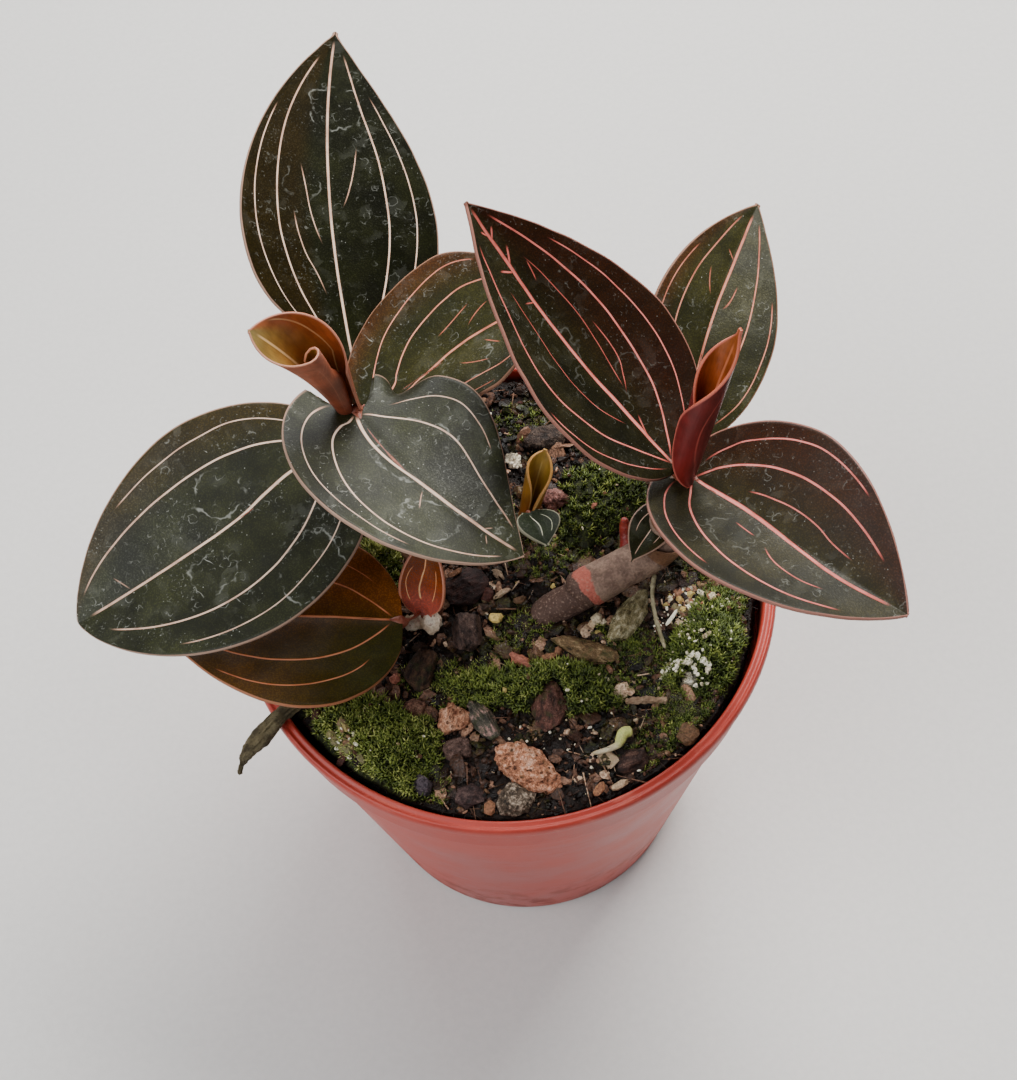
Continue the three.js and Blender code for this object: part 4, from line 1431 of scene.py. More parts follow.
ROOT_NUBS = (
    Rod(
        "root_nub_small",
        points=((-14.2, -5.4, 79.4, 1), (-15.8, -6.9, 80.8, 1.25), (-17.1, -7.5, 82.2, 1.15)), bumps=0.5,
        bump_size=0.6, rings=26, sides=18,
    ),
    Rod(
        "root_nub_large",
        points=((-13.5, -5.4, 79.2, 1.4), (-13.2, -7.1, 80.6, 1.7), (-13, -8.1, 82, 1.5)), bumps=0.65,
        bump_size=0.7, rings=26, sides=20,
    ),
)
RED_BUD = Rod(
    "red_bud",
    points=((20.4, 0.2, 82.8, 1.3), (20.6, 3, 84.2, 1.1), (20.5, 4.3, 86, 0.9), (20.4, 4.5, 87.6, 0.5)),
    bumps=0.08, rings=40, sides=18,
)
TWIG = Rod(
    "twig_skin",
    points=(
        (-32, -16.6, 79.4, 0.9), (-36.2, -19.9, 81.6, 1), (-39, -22.2, 81.7, 1.15),
        (-42.4, -24.8, 80.6, 1.25), (-44.6, -26.7, 79.3, 0.95), (-45.3, -27.6, 78.3, 0.3),
        (-46.2, -28.8, 76.8, 0.24),
    ),
    nodes=("twig",), bumps=0.16, bump_size=1.1, ridges=0.5, rings=80, sides=48,
)
STICK = Rod(
    "stick_skin", points=((16.9, -23.6, 77.4, 0.35), (20.4, -24, 77.8, 0.52), (23.8, -24.4, 77.7, 0.5)),
    nodes=("stick",), bumps=0.16, bump_size=0.6, ridges=0.42, rings=40, sides=24,
)
SPROUT = Rod(
    "sprout_skin",
    points=(
        (10.4, -31.9, 77, 0.35), (12.4, -31.9, 77.6, 0.45), (14.5, -31.4, 78, 0.6),
        (15.3, -30.7, 78.4, 0.85), (15.9, -29.8, 78.9, 0.95), (17.3, -29.5, 78.7, 0.85),
    ),
    nodes=("sprout",), bumps=0.14, bump_size=1.2, rings=50, sides=18,
)
THIN_ROOT = Rod(
    "thin_root_skin",
    points=(
        (24.6, -2.6, 80.9, 0.4), (23.7, -6.6, 80.2, 0.34), (23.9, -11.5, 79.3, 0.36),
        (24.6, -15.6, 78.8, 0.3),
    ),
    nodes=("thin_root",), joints=(0.2, 0.42, 0.65, 0.85), joint_swell=0.14, bumps=0.08, bump_size=0.8,
    rings=50, sides=12,
)
RODS = (LEFT_STEM, RIGHT_STEM, THIN_ROOT, TWIG, STICK, SPROUT)


@dataclass(frozen=True)
class Sheath:
    """A thin dry sleeve round a stem, with a torn upper edge."""

    rod: Rod
    start: float
    end: float
    opening: float
    turn: float
    finish: SkinFinish
    flare: float = 0.5

    def build(self, name: str) -> None:
        """Args:
            name: The piece's name.
        """
        side = Vector((cos(radians(self.turn)), sin(radians(self.turn)), 0.2))

        def law(along: float, across: float) -> Spot:
            """Place one point of the sleeve.

            Args:
                along: Its share of the way.
                across: Its side, from -1 to 1.

            Returns:
                The spot.
            """
            torn = 0.1 * noise.noise(Vector((across * 4.0, self.turn, 0.0))) - 0.16 * across * across
            share = self.start + (self.end - self.start) * along * (1.0 + torn)
            x, y, z, radius = spline(self.rod.points, share)
            ahead = Vector(spline(self.rod.points, share + LOOK_AHEAD)[:3]) - Vector((x, y, z))
            tangent = ahead.normalized()
            level = (side - tangent * side.dot(tangent)).normalized()
            angle = radians(180.0 - self.opening * along * 0.5) * across
            out = level * cos(angle) + tangent.cross(level) * sin(angle)
            size = radius + 0.22 + self.flare * along ** 2
            return Spot(Vector((x, y, z)) + out * size, along, across, size * pi)

        skin = self.finish.material()
        sleeve = make_piece(name, shaped_sheet(22, 40, law), skin, skin)
        thicken(sleeve, 0.18)
        settle(sleeve, "stem")


@dataclass
class Orchid:
    """The plant: its stems, its leaves and what grows at its foot."""

    leaves: tuple[FlatBlade, ...] = OPEN_LEAVES
    rolls: tuple[RolledBlade, ...] = ROLLED_LEAVES

    def _stems(self) -> None:
        """Make the stems with their joints, sleeves, root nubs and bud."""
        upright = SkinFinish(
            "stem_skin", base=(92, 54, 40), pale=(118, 76, 56), freckle=(66, 42, 34), flush=(104, 78, 42),
            flush_along=(0.2, 0.7),
        )
        creeping = SkinFinish(
            "rhizome_skin", base=(118, 92, 78), pale=(152, 124, 106), freckle=(142, 118, 102),
            flush=(84, 60, 50), flush_along=(0.335, 0.318), band=(0.339, 0.021, (184, 98, 82)),
            rough=0.75, grain=0.4,
        )
        nub = SkinFinish(
            "root_nub", (196, 168, 138), (236, 222, 200), (112, 58, 42), rough=0.8, grain=0.6,
        )
        green_root = SkinFinish("green_root", (120, 112, 78), (164, 154, 122), (74, 66, 40))
        rotten = SkinFinish("twig_bark", (66, 56, 34), (112, 100, 70), (36, 28, 16), rough=0.8)
        dry = SkinFinish("stick_bark", (128, 100, 76), (160, 134, 108), (88, 62, 44), rough=0.7)
        fresh = SkinFinish(
            "sprout_skin", (186, 168, 130), (206, 192, 160), (150, 120, 84), flush=(200, 204, 116),
            flush_along=(0.3, 0.6),
        )
        bud = SkinFinish("bud_skin", (132, 40, 34), (160, 60, 46), (92, 24, 22), rough=0.35)
        husk = SkinFinish("dry_sleeve", (112, 76, 52), (142, 104, 76), (70, 44, 32), rough=0.6)
        rods = (
            *((rod, nub, "stem") for rod in ROOT_NUBS), (LEFT_STEM, upright, "stem"),
            (RIGHT_STEM, creeping, "stem"), (RED_BUD, bud, "stem"), (THIN_ROOT, green_root, "stem"),
            (TWIG, rotten, "bark"), (STICK, dry, "bark"), (SPROUT, fresh, "moss"),
        )
        for rod, skin, slot in rods:
            rod.build(skin.material(), slot)
        sleeves = (
            Sheath(RIGHT_STEM, 0.53, 0.61, 80.0, 20.0, husk),
            Sheath(RIGHT_STEM, 0.67, 0.75, 90.0, 150.0, husk),
            Sheath(RIGHT_STEM, 0.81, 0.88, 90.0, -40.0, husk),
            Sheath(LEFT_STEM, 0.15, 0.27, 80.0, 200.0, husk),
            Sheath(LEFT_STEM, 0.37, 0.49, 90.0, 20.0, husk),
            Sheath(LEFT_STEM, 0.61, 0.7, 90.0, 140.0, husk),
        )
        for i, sleeve in enumerate(sleeves):
            sleeve.build(f"stem_sleeve_{i + 1}")

    def _leaves(self) -> None:
        """Make the open leaves and the rolled ones."""
        stalk = SkinFinish("stalk_skin", (120, 58, 42), (150, 84, 60), (90, 42, 32), rough=0.4)
        skin = stalk.material()
        for leaf in self.leaves:
            leaf.build(VELVETS[leaf.look].material(leaf), BURGUNDY.material(leaf), skin)
        for roll in self.rolls:
            roll.build(roll.inner.material(roll), roll.outer.material(roll))

    def build(self) -> None:
        """Make the plant."""
        self._stems()
        self._leaves()


# ---- the pot ----


ROUND_STEPS = 5


def rounded(corners: Sequence[tuple[float, float, float]]) -> list[Pair]:
    """Round the corners of an outline.

    Args:
        corners: Rows of radius, height and how far the rounding reaches, in millimetres.

    Returns:
        The outline's points.
    """
    points = []
    for i, (radius, height, reach) in enumerate(corners):
        here = Vector((radius, height))
        if reach == 0.0:
            points.append((radius, height))
            continue
        before = Vector(corners[i - 1][:2]) - here
        after = Vector(corners[(i + 1) % len(corners)][:2]) - here
        start = here + before.normalized() * min(reach, 0.45 * before.length)
        end = here + after.normalized() * min(reach, 0.45 * after.length)
        for step in range(ROUND_STEPS + 1):
            t = step / ROUND_STEPS
            points.append(tuple(start.lerp(here, t).lerp(here.lerp(end, t), t)))
    return points


@dataclass
class NurseryPot:
    """A thin-walled plastic pot with a collar, a rolled lip and drain holes, in millimetres."""

    rim_radius: float = 45.0
    height: float = 80.0
    base_radius: float = 31.0
    wall: float = 1.1
    inner_radius: float = 42.8
    collar_height: float = 70.0
    hole_ring: float = 18.5
    hole_radius: float = 2.5
    holes: int = 6
    sides: int = 160
    sharp_from: float = 40.0

    def wall_radius(self, height: float) -> float:
        """Return the outer radius of the wall below the collar."""
        return self.base_radius + (self.inner_radius - self.base_radius) * height / self.collar_height

    def outline(self) -> list[Pair]:
        """Lay out the wall, from the middle of the base round to the inner floor.

        Returns:
            The outline's points.
        """
        under = self.collar_height - 1.0
        rim, top = self.rim_radius, self.height
        corners = (
            (0.0, 0.0, 0.0), (9.0, 0.0, 0.5), (11.0, 2.5, 0.6), (26.0, 2.5, 0.6), (28.0, 0.0, 0.5),
            (30.2, 0.0, 0.4), (self.base_radius, 0.8, 0.6), (self.wall_radius(under), under, 0.5),
            (43.6, 70.0, 0.5), (43.9, 77.4, 0.3), (44.5, 77.5, 0.3), (rim, 78.1, 0.5),
            (rim, top - 0.6, 0.5), (44.5, top, 0.4), (44.0, top - 0.35, 0.25), (43.2, top, 0.3),
            (self.inner_radius, top - 0.5, 0.5), (42.5, 70.4, 0.4),
            (self.wall_radius(under) - self.wall, under, 0.4),
            (self.wall_radius(1.2) - self.wall, 2.2, 1.0), (29.0, 1.2, 0.3), (28.5, 1.2, 0.3),
            (26.5, 3.7, 0.6), (10.5, 3.7, 0.6), (8.5, 1.2, 0.5), (0.0, 1.2, 0.0),
        )
        return rounded(corners)

    def _bore(self, pot: Piece) -> None:
        """Cut the drain holes through the floor.

        Args:
            pot: The pot; it gets a new mesh.
        """
        drills = bmesh.new()
        for i in range(self.holes):
            turn = 2.0 * pi * (i + 0.5) / self.holes
            place = Vector((cos(turn), sin(turn), 0.0)) * self.hole_ring * MM
            bmesh.ops.create_cone(
                drills, cap_ends=True, segments=32, radius1=self.hole_radius * MM,
                radius2=self.hole_radius * MM, depth=16.0 * MM, matrix=Matrix.Translation(place),
            )
        drill = make_piece("drain_drill", drills)
        bore = pot.modifiers.new("drain", "BOOLEAN")
        bore.operation = "DIFFERENCE"
        bore.solver = "EXACT"
        bore.object = drill
        graph = bpy.context.evaluated_depsgraph_get()
        bored = bpy.data.meshes.new_from_object(pot.evaluated_get(graph))
        pot.modifiers.clear()
        pot.data = bored
        bpy.data.objects.remove(drill)

    @staticmethod
    def finish() -> Material:
        """Make terracotta-coloured plastic, with scuffs, a sooty foot, painted shade in the groove under
        the lip, and an inside darkened by damp and by painted shade.

        Returns:
            The material.
        """
        sheet = Sheet("terracotta_plastic")
        x, y, z = sheet.place.parts()
        out = (x * x + y * y) ** 0.5
        broad = sheet.grain(16.0, 4.0)
        fine = sheet.grain(0.35, 2.0)
        scratch = sheet.grain(0.6, 3.0, at=sheet.stretched((0.05, 0.05, 1.6))).smooth(0.63, 0.72)
        rub = sheet.grain(2.4, 4.0, at=sheet.stretched((1.0, 1.0, 2.5))).smooth(0.6, 0.75)
        colour = sheet.mix(broad.smooth(0.3, 0.7), (164, 48, 35), (182, 62, 47))
        colour = sheet.shade(colour, fine.smooth(0.3, 0.7, 0.95, 1.05))
        lip = z.smooth(76.9, 77.6)
        colour = sheet.mix(scratch * 0.22, colour, (222, 120, 98))
        colour = sheet.mix(rub * 0.2 * lip, colour, (226, 130, 110))
        grime = sheet.grain(5.0, 5.0).smooth(0.45, 0.7) * z.smooth(30.0, 2.0)
        colour = sheet.mix(grime * 0.55, colour, (96, 58, 44))
        # Painted shade in the groove under the lip.
        groove_shade = abs(z - 77.3).smooth(0.5, 0.1) * out.smooth(43.0, 43.6)
        colour = sheet.mix(groove_shade * 0.5, colour, (96, 44, 36))
        # The inside wall above the soil is darkened: partly damp, partly painted shade of the gap under
        # the rim.
        inside = (out - z * 0.165).smooth(30.9, 30.5) * z.smooth(79.3, 77.0)
        damp_and_shade = sheet.grain(2.2, 5.0).smooth(0.35, 0.6, 0.45, 0.92)
        colour = sheet.mix(inside * damp_and_shade, colour, (52, 30, 24))
        rough = broad.smooth(0.3, 0.7, 0.36, 0.48) + scratch * 0.12 + grime * 0.3
        height = fine * 0.5 - scratch * 0.6 + sheet.grain(6.0, 2.0)
        return sheet.finish(colour, rough, height, 0.05, gloss=0.5)

    def build(self) -> None:
        shell = lathe(self.outline(), self.sides)
        pot = make_piece("nursery_pot", shell)
        self._bore(pot)
        pot.data.materials.append(self.finish())
        pot.data.set_sharp_from_angle(angle=radians(self.sharp_from))
        settle(pot, "pot", "pot")


# ---- the ground ----


CHIP_KINDS = ("bark", "clay", "stone", "perlite")
CHIP_NODES = tuple(sorted(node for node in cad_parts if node.split("_")[0] in CHIP_KINDS))
MOSS_NODES = tuple(sorted(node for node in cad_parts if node.startswith("moss_")))
# Heights and reaches on the soil, in millimetres.
SOIL_REACH = 41.4
STEM_HOLE_LEVEL = 76.6
OPEN_SOIL = 40.4
TOP_FROM = 66.0
DROP_FROM = 90.0
DROP_REACH = 20.0
HEADROOM = 1.2


class Chance(random.Random):
    """Seeded random numbers, with the draws that loose things need."""

    def way(self) -> Vector:
        """Return a direction."""
        return Vector((self.gauss(0.0, 1.0), self.gauss(0.0, 1.0), self.gauss(0.0, 1.0))).normalized()

    def turn(self) -> float:
        """Return a turn in radians."""
        return self.uniform(0.0, 6.3)

    def tone(self, middle: float, spread: float) -> float:
        """Return a tone from 0 to 1 round a middle."""
        return min(1.0, max(0.0, self.gauss(middle, spread)))

    def size(self, sizes: Pair, fineness: float) -> float:
        """Return a size from a range, where more fineness gives more small ones."""
        return sizes[0] + (sizes[1] - sizes[0]) * self.random() ** fineness

    def place(self, middle: Pair, reach: Pair, turn: float = 0.0, power: float = 0.5) -> Pair:
        """Draw a place in an ellipse.

        Args:
            middle: The ellipse's middle.
            reach: Its half lengths.
            turn: Its turn in radians.
            power: How the places spread, where 0.5 is even and more crowds the middle.

        Returns:
            The place.
        """
        radius, way = self.random() ** power, self.uniform(0.0, 2.0 * pi)
        u, v = reach[0] * radius * cos(way), reach[1] * radius * sin(way)
        return middle[0] + u * cos(turn) - v * sin(turn), middle[1] + u * sin(turn) + v * cos(turn)


def split_long(shape: Shape, longest: float, low: float = -1.0, rounds: int = 6) -> None:
    """Split the long edges of a shape, and leave no face that lies double.

    Args:
        shape: The shape, in metres; it is changed.
        longest: The longest edge that stays, in millimetres.
        low: The height over which edges are split, in millimetres.
        rounds: How many times an edge may be halved.
    """
    for _ in range(rounds):
        high = [edge for edge in shape.edges if min(vert.co.z for vert in edge.verts) > low * MM]
        long = [edge for edge in high if edge.calc_length() > longest * MM]
        if not long:
            break
        bmesh.ops.subdivide_edges(shape, edges=long, cuts=1, use_grid_fill=True)
        bmesh.ops.triangulate(shape, faces=[face for face in shape.faces if len(face.verts) > 3])
        known: set[frozenset[bmesh.types.BMVert]] = set()
        double = []
        for face in shape.faces:
            corners = frozenset(face.verts)
            if corners in known:
                double.append(face)
            known.add(corners)
        bmesh.ops.delete(shape, geom=double, context="FACES_ONLY")


def roughen(shape: Shape, edge: float, layers: Sequence[Pair], seed: float, inset: float = 0.0) -> None:
    """Split a shape's long edges and push its points in and out.

    Args:
        shape: The shape, in metres; it is changed.
        edge: The longest edge that stays, in millimetres.
        layers: Pairs of lump size and depth, in millimetres.
        seed: Where in the noise the shape lies.
        inset: How far all points go in as well, in millimetres.
    """
    split_long(shape, edge)
    shape.normal_update()
    for vert in shape.verts:
        here = vert.co / MM + Vector((seed, 0.0, 0.0))
        push = sum(depth * noise.fractal(here / size, 0.7, 2.1, 3) for size, depth in layers) - inset
        vert.co += vert.normal * push * MM
    shape.normal_update()


def hewn(shape: Shape, cuts: int, seed: int, depth: Pair = (0.72, 0.95)) -> None:
    """Cut flat faces into a solid until it looks broken.

    Args:
        shape: The solid; it is changed.
        cuts: How many planes cut it.
        seed: What the planes' directions are drawn from.
        depth: How far out the planes stand, as shares of the way to the skin.
    """
    draw = Chance(seed)
    points = np.array([vert.co[:] for vert in shape.verts])
    middle = points.mean(axis=0)
    sizes, axes = np.linalg.eigh(np.cov((points - middle).T))
    to_round = axes @ np.diag(1.0 / np.sqrt(sizes)) @ axes.T
    for _ in range(cuts):
        normal = Vector(to_round @ np.array(draw.way())).normalized()
        reach = float(((points - middle) @ np.array(normal)).max()) * draw.uniform(*depth)
        bmesh.ops.bisect_plane(
            shape, geom=shape.verts[:] + shape.edges[:] + shape.faces[:],
            plane_co=Vector(middle) + normal * reach,
            plane_no=normal, clear_outer=True,
        )
        rim = [edge for edge in shape.edges if edge.is_boundary]
        if rim:
            bmesh.ops.edgeloop_fill(shape, edges=rim)
    bmesh.ops.triangulate(shape, faces=[face for face in shape.faces if len(face.verts) > 4])
    bmesh.ops.recalc_face_normals(shape, faces=shape.faces[:])


def splinter(seed: int, cuts: int) -> Shape:
    """Make a broken piece with flat faces, about one unit across.

    Args:
        seed: What its faces are drawn from.
        cuts: How many planes cut it.

    Returns:
        The piece.
    """
    piece = bmesh.new()
    bmesh.ops.create_icosphere(piece, subdivisions=1, radius=0.6)
    hewn(piece, cuts, seed, (0.5, 0.9))
    return piece


class Ground:
    """What loose things lie on: the soil, the moss, and the pieces that stand on them."""

    def __init__(self, soil: Mesh, props: Sequence[Mesh]) -> None:
        """Read the shapes.

        Args:
            soil: The soil's body.
            props: The meshes of the chips, stems and twigs.
        """
        self.soil = ground_tree([soil])
        self.moss = ground_tree([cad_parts[node].data for node in MOSS_NODES])
        self.props = ground_tree(props)

    @staticmethod
    def under(tree: BVHTree, x: float, y: float) -> tuple[Vector, Vector] | None:
        """Return the first point and normal below a high place, in metres."""
        place, normal, _, _ = tree.ray_cast(Vector((x, y, DROP_FROM)) * MM, -UP, DROP_REACH * MM)
        return None if place is None else (place, normal)

    def drop(
        self, x: float, y: float, on_moss: bool = False, on_props: bool = False,
    ) -> tuple[Vector, Vector] | None:
        """Return where a loose thing comes to lie, or None where the place is taken.

        Args:
            x: Its place along X, in millimetres.
            y: Its place along Y, in millimetres.
            on_moss: Whether it may lie on moss.
            on_props: Whether it may lie on chips and stems.

        Returns:
            The point and the surface's normal.
        """
        best = self.under(self.soil, x, y)
        if best is None:
            return None
        found = self.under(self.moss, x, y)
        if found is not None and found[0].z > best[0].z:
            if not on_moss:
                return None
            best = found
        found = self.under(self.props, x, y)
        if on_props and found is not None and found[0].z > best[0].z:
            return found
        return None if self._taken(best[0]) else best

    def _taken(self, place: Vector) -> bool:
        """Tell whether a chip or a stem stands on a place, or hangs too low over it."""
        hit, normal, _, gap = self.props.ray_cast(place + UP * 0.1 * MM, UP, 30.0 * MM)
        return hit is not None and (normal.z > 0.0 or gap < HEADROOM * MM)


@dataclass(frozen=True)
class CrumbFinish:
    """Loose grains whose colour goes from dark to light with each grain's own tone."""

    name: str
    stops: tuple[tuple[float, Colour], ...]
    rough: float = 0.7
    grain: float = 0.4
    wet: float = 0.3
    blotch: float = 0.3
    green: float = 0.0

    def material(self) -> Material:
        """Make the finish.

        Returns:
            The material.
        """
        sheet = Sheet(self.name)
        tone = sheet.attribute("tone")
        fine = sheet.grain(self.grain, 4.0)
        colour = sheet.ramp(tone + (fine - 0.5) * self.blotch, self.stops)
        if self.green:
            film = sheet.grain(5.0, 4.0).smooth(0.48, 0.66) * fine.smooth(0.35, 0.6) * self.green
            colour = sheet.mix(film, colour, (62, 66, 24))
        colour = sheet.shade(colour, fine.smooth(0.25, 0.75, 0.6, 1.4))
        rough = sheet.grain(1.2).smooth(0.4, 0.6, self.rough - self.wet, self.rough)
        return sheet.finish(colour, rough, fine, 0.2, gloss=0.28)


@dataclass(frozen=True)
class Grains:
    """One size of loose soil: its shape, how many there are, and how big, flat and dark they are."""

    name: str
    seed: int
    cuts: int
    count: int
    sizes: Pair
    flat: float
    lift: float
    lean: float
    tone: float


@dataclass
class PottingMix:
    """The soil: a crumbly top, with grains, flakes and fibres lying loose on it."""

    ground: Ground
    reach: float = SOIL_REACH
    seed: int = 11
    grains: tuple[Grains, ...] = (
        Grains("soil_crumbs", 3, 2, 4900, (0.4, 1.5), 0.7, 0.1, 1.0, 0.36),
        Grains("soil_lumps", 8, 6, 760, (1.3, 2.8), 0.6, 0.1, 0.8, 0.4),
        Grains("soil_flakes", 5, 5, 420, (2.0, 5.2), 0.22, 0.25, 0.35, 0.46),
        Grains("soil_shards", 14, 5, 300, (1.6, 3.6), 0.3, 0.3, 0.6, 0.58),
    )
    fibres: int = 700
    fibre_length: Pair = (1.5, 6.5)
    tries: int = 6
    fineness: float = 2.2
    spread: float = 0.28
    # Painted shade: how much darker the grains get for each millimetre towards the back, where the leaves
    # shade the soil.
    fall: float = 0.005

    @staticmethod
    def body() -> Piece:
        """Make the soil's body with a rough top, level where the stems stand in it.

        Returns:
            The body.
        """
        body = node_copy("soil")
        split_long(body, 1.3, low=74.0, rounds=4)
        for vert in body.verts:
            x, y, z = vert.co / MM
            if z > TOP_FROM and hypot(x, y) < SOIL_REACH - 0.5:
                rough = 0.5 * noise.fractal(Vector((x, y, 0.0)) / 1.6, 0.7, 2.1, 4)
                vert.co.z = (max(z, STEM_HOLE_LEVEL) + rough) * MM
        body.normal_update()
        sheet = Sheet("wet_soil")
        broad = sheet.grain(5.0, 5.0)
        fine = sheet.grain(0.5, 5.0)
        stops = ((0.3, (9, 5, 3)), (0.5, (24, 14, 9)), (0.66, (46, 29, 19)), (0.8, (74, 50, 34)))
        colour = sheet.ramp(fine * 0.6 + broad * 0.4, stops)
        rough = broad.smooth(0.4, 0.6, 0.3, 0.75)
        finish = sheet.finish(colour, rough, fine + broad, 0.5, gloss=0.3)
        return settle(make_piece("soil_body", body, finish), "soil", "soil")

    def _scatter(self, draw: Chance, kind: Grains) -> list[Stamp]:
        """Throw grains over the open soil.

        Args:
            draw: The random numbers.
            kind: The grains.

        Returns:
            A stamp for each grain.
        """
        stamps = []
        for _ in range(kind.count * self.tries):
            if len(stamps) == kind.count:
                break
            x, y = draw.place((0.0, 0.0), (self.reach, self.reach))
            landed = self.ground.drop(x, y)
            size = draw.size(kind.sizes, self.fineness)
            if landed is None or hypot(x, y) > self.reach - 0.6 * size:
                continue
            place, normal = landed
            shape = Vector(
                (size, size * draw.uniform(0.4, 0.9), size * kind.flat * draw.uniform(0.6, 1.2))
            ) * MM
            up = (normal + draw.way() * kind.lean).normalized()
            # Painted shade: grains towards the back (+Y) get a darker tone.
            tone = draw.tone(kind.tone - self.fall * max(0.0, place.y / MM), self.spread)
            lift = UP * (kind.lift * shape.z + 0.1 * MM)
            stamps.append(Stamp(place + lift, up, draw.turn(), shape, tone))
        return stamps

    def build(self) -> None:
        """Make the soil and everything loose on it."""
        draw = Chance(self.seed)
        stops = (
            (0.0, (7, 4, 3)), (0.35, (32, 19, 13)), (0.6, (76, 51, 39)), (0.8, (126, 91, 72)),
            (0.93, (172, 132, 106)), (1.0, (210, 180, 150)),
        )
        finish = CrumbFinish("soil_crumb", stops, rough=0.6, wet=0.42, green=0.6).material()
        for kind in self.grains:
            stamps = self._scatter(draw, kind)
            mesh = stamped(kind.name, splinter(kind.seed, kind.cuts), stamps, smooth=False)
            settle(piece_of(kind.name, mesh, finish), "soil")
        fibre = bmesh.new()
        bmesh.ops.create_cone(fibre, cap_ends=True, segments=4, radius1=0.5, radius2=0.25, depth=1.0)
        threads = Grains("soil_fibres", 0, 0, self.fibres, (0.12, 0.36), 1.0, 1.5, 1.0, 0.55)
        stamps = []
        for stamp in self._scatter(draw, threads):
            lying = (draw.way() * Vector((1.0, 1.0, 0.25))).normalized()
            size = Vector((stamp.size.x, stamp.size.x, draw.uniform(*self.fibre_length) * MM))
            stamps.append(Stamp(stamp.place, lying, stamp.turn, size, stamp.tone))
        mesh = stamped("soil_fibres", fibre, stamps, smooth=True)
        settle(piece_of("soil_fibres", mesh, finish), "soil")


@dataclass(frozen=True)
class ChipFinish:
    """A broken chip of bark, clay or stone: three tones, a grain along it, pores, moss and painted
    glints.
    """

    dark: Colour
    base: Colour
    light: Colour
    turn: float = 0.0
    streak: float = 1.0
    pores: float = 0.0
    glints: float = 0.3
    green: float = 0.0
    rough: float = 0.65

    def material(self, name: str) -> Material:
        """Make the finish.

        Args:
            name: The chip's name.

        Returns:
            The material.
        """
        sheet = Sheet(f"{name}_finish")
        along = sheet.stretched((1.0 / self.streak, 1.0, 1.0), -self.turn)
        streaks = sheet.grain(0.7, 5.0, 0.62, at=along)
        broad = sheet.grain(2.6, 3.0)
        fine = sheet.grain(0.22, 2.0)
        stops = ((0.38, self.dark), (0.5, self.base), (0.63, self.light))
        colour = sheet.ramp(streaks * 0.65 + broad * 0.35, stops)
        colour = sheet.shade(colour, fine.smooth(0.3, 0.7, 0.7, 1.5))
        height = streaks * 2.0 + fine * 0.5
        if self.pores:
            holes = sheet.cells(1.15).smooth(0.28, 0.16) * broad.smooth(0.35, 0.55)
            colour = sheet.mix(holes * self.pores, colour, self.dark)
            height = height - holes * 3.0
        # Painted highlights: pale specks stand in for glints.
        colour = sheet.mix(fine.smooth(0.68, 0.76) * self.glints, colour, (216, 206, 190))
        if self.green:
            patch = sheet.grain(1.6, 4.0).smooth(0.52, 0.66) * self.green
            colour = sheet.mix(patch, colour, (62, 70, 30))
        return sheet.finish(colour, self.rough, height, 0.3, gloss=0.3)


FAMILY_FINISHES = {
    "bark": ChipFinish((22, 14, 11), (58, 38, 32), (100, 72, 60), streak=4.0),
    "clay": ChipFinish(
        (74, 44, 32), (186, 124, 92), (226, 182, 156), pores=0.9, glints=0.2, rough=0.85, green=0.25,
    ),
    "stone": ChipFinish((34, 27, 24), (76, 62, 54), (128, 110, 96), glints=0.5),
    "perlite": ChipFinish((170, 154, 126), (228, 218, 194), (250, 244, 226), glints=0.2, rough=0.85),
}
CHIP_FINISHES = {
    "bark_oval": ChipFinish((26, 16, 11), (64, 44, 32), (96, 70, 50), turn=65.0, streak=3.0, green=0.35),
    "bark_block": ChipFinish((28, 19, 16), (70, 52, 45), (100, 78, 68), turn=100.0, streak=2.0),
    "bark_dark": ChipFinish((16, 9, 8), (42, 23, 21), (70, 44, 38), turn=20.0, streak=3.5),
    "bark_red": ChipFinish((40, 27, 22), (80, 49, 40), (116, 76, 64), turn=78.0, streak=2.0, green=0.4),
    "bark_mossy": ChipFinish(
        (80, 70, 44), (134, 122, 86), (200, 190, 160), turn=52.0, streak=2.0, green=0.3, glints=0.6,
    ),
    "bark_long": ChipFinish(
        (56, 42, 24), (110, 86, 56), (152, 128, 94), turn=-24.0, streak=3.0, green=0.5,
    ),
    # Dark tones, darkened further as painted shade for the shadow of the leaves at the back of the pot.
    "bark_back": ChipFinish((26, 19, 16), (58, 45, 38), (92, 76, 64), glints=0.4),
    "clay_round": ChipFinish((58, 34, 26), (114, 78, 62), (144, 108, 88), pores=0.2, rough=0.8),
    "clay_rough": ChipFinish(
        (98, 52, 34), (176, 122, 92), (210, 166, 138), streak=2.2, turn=60.0, pores=0.6, rough=0.85,
    ),
    "clay_small": ChipFinish((110, 56, 42), (186, 112, 84), (210, 146, 118), rough=0.8),
    "clay_back": ChipFinish((72, 42, 38), (130, 86, 78), (164, 116, 106), rough=0.7),
    "stone_leaning": ChipFinish(
        (36, 33, 28), (78, 73, 62), (180, 140, 130), turn=118.0, streak=3.0, green=0.35,
    ),
    "stone_flat": ChipFinish((42, 28, 24), (84, 62, 54), (120, 94, 84)),
    "stone_grey": ChipFinish((34, 27, 20), (84, 70, 56), (184, 166, 146), glints=0.6),
    "stone_brown": ChipFinish((30, 20, 19), (64, 46, 44), (100, 78, 72)),
    "stone_purple": ChipFinish((34, 28, 33), (76, 66, 72), (112, 100, 104)),
}


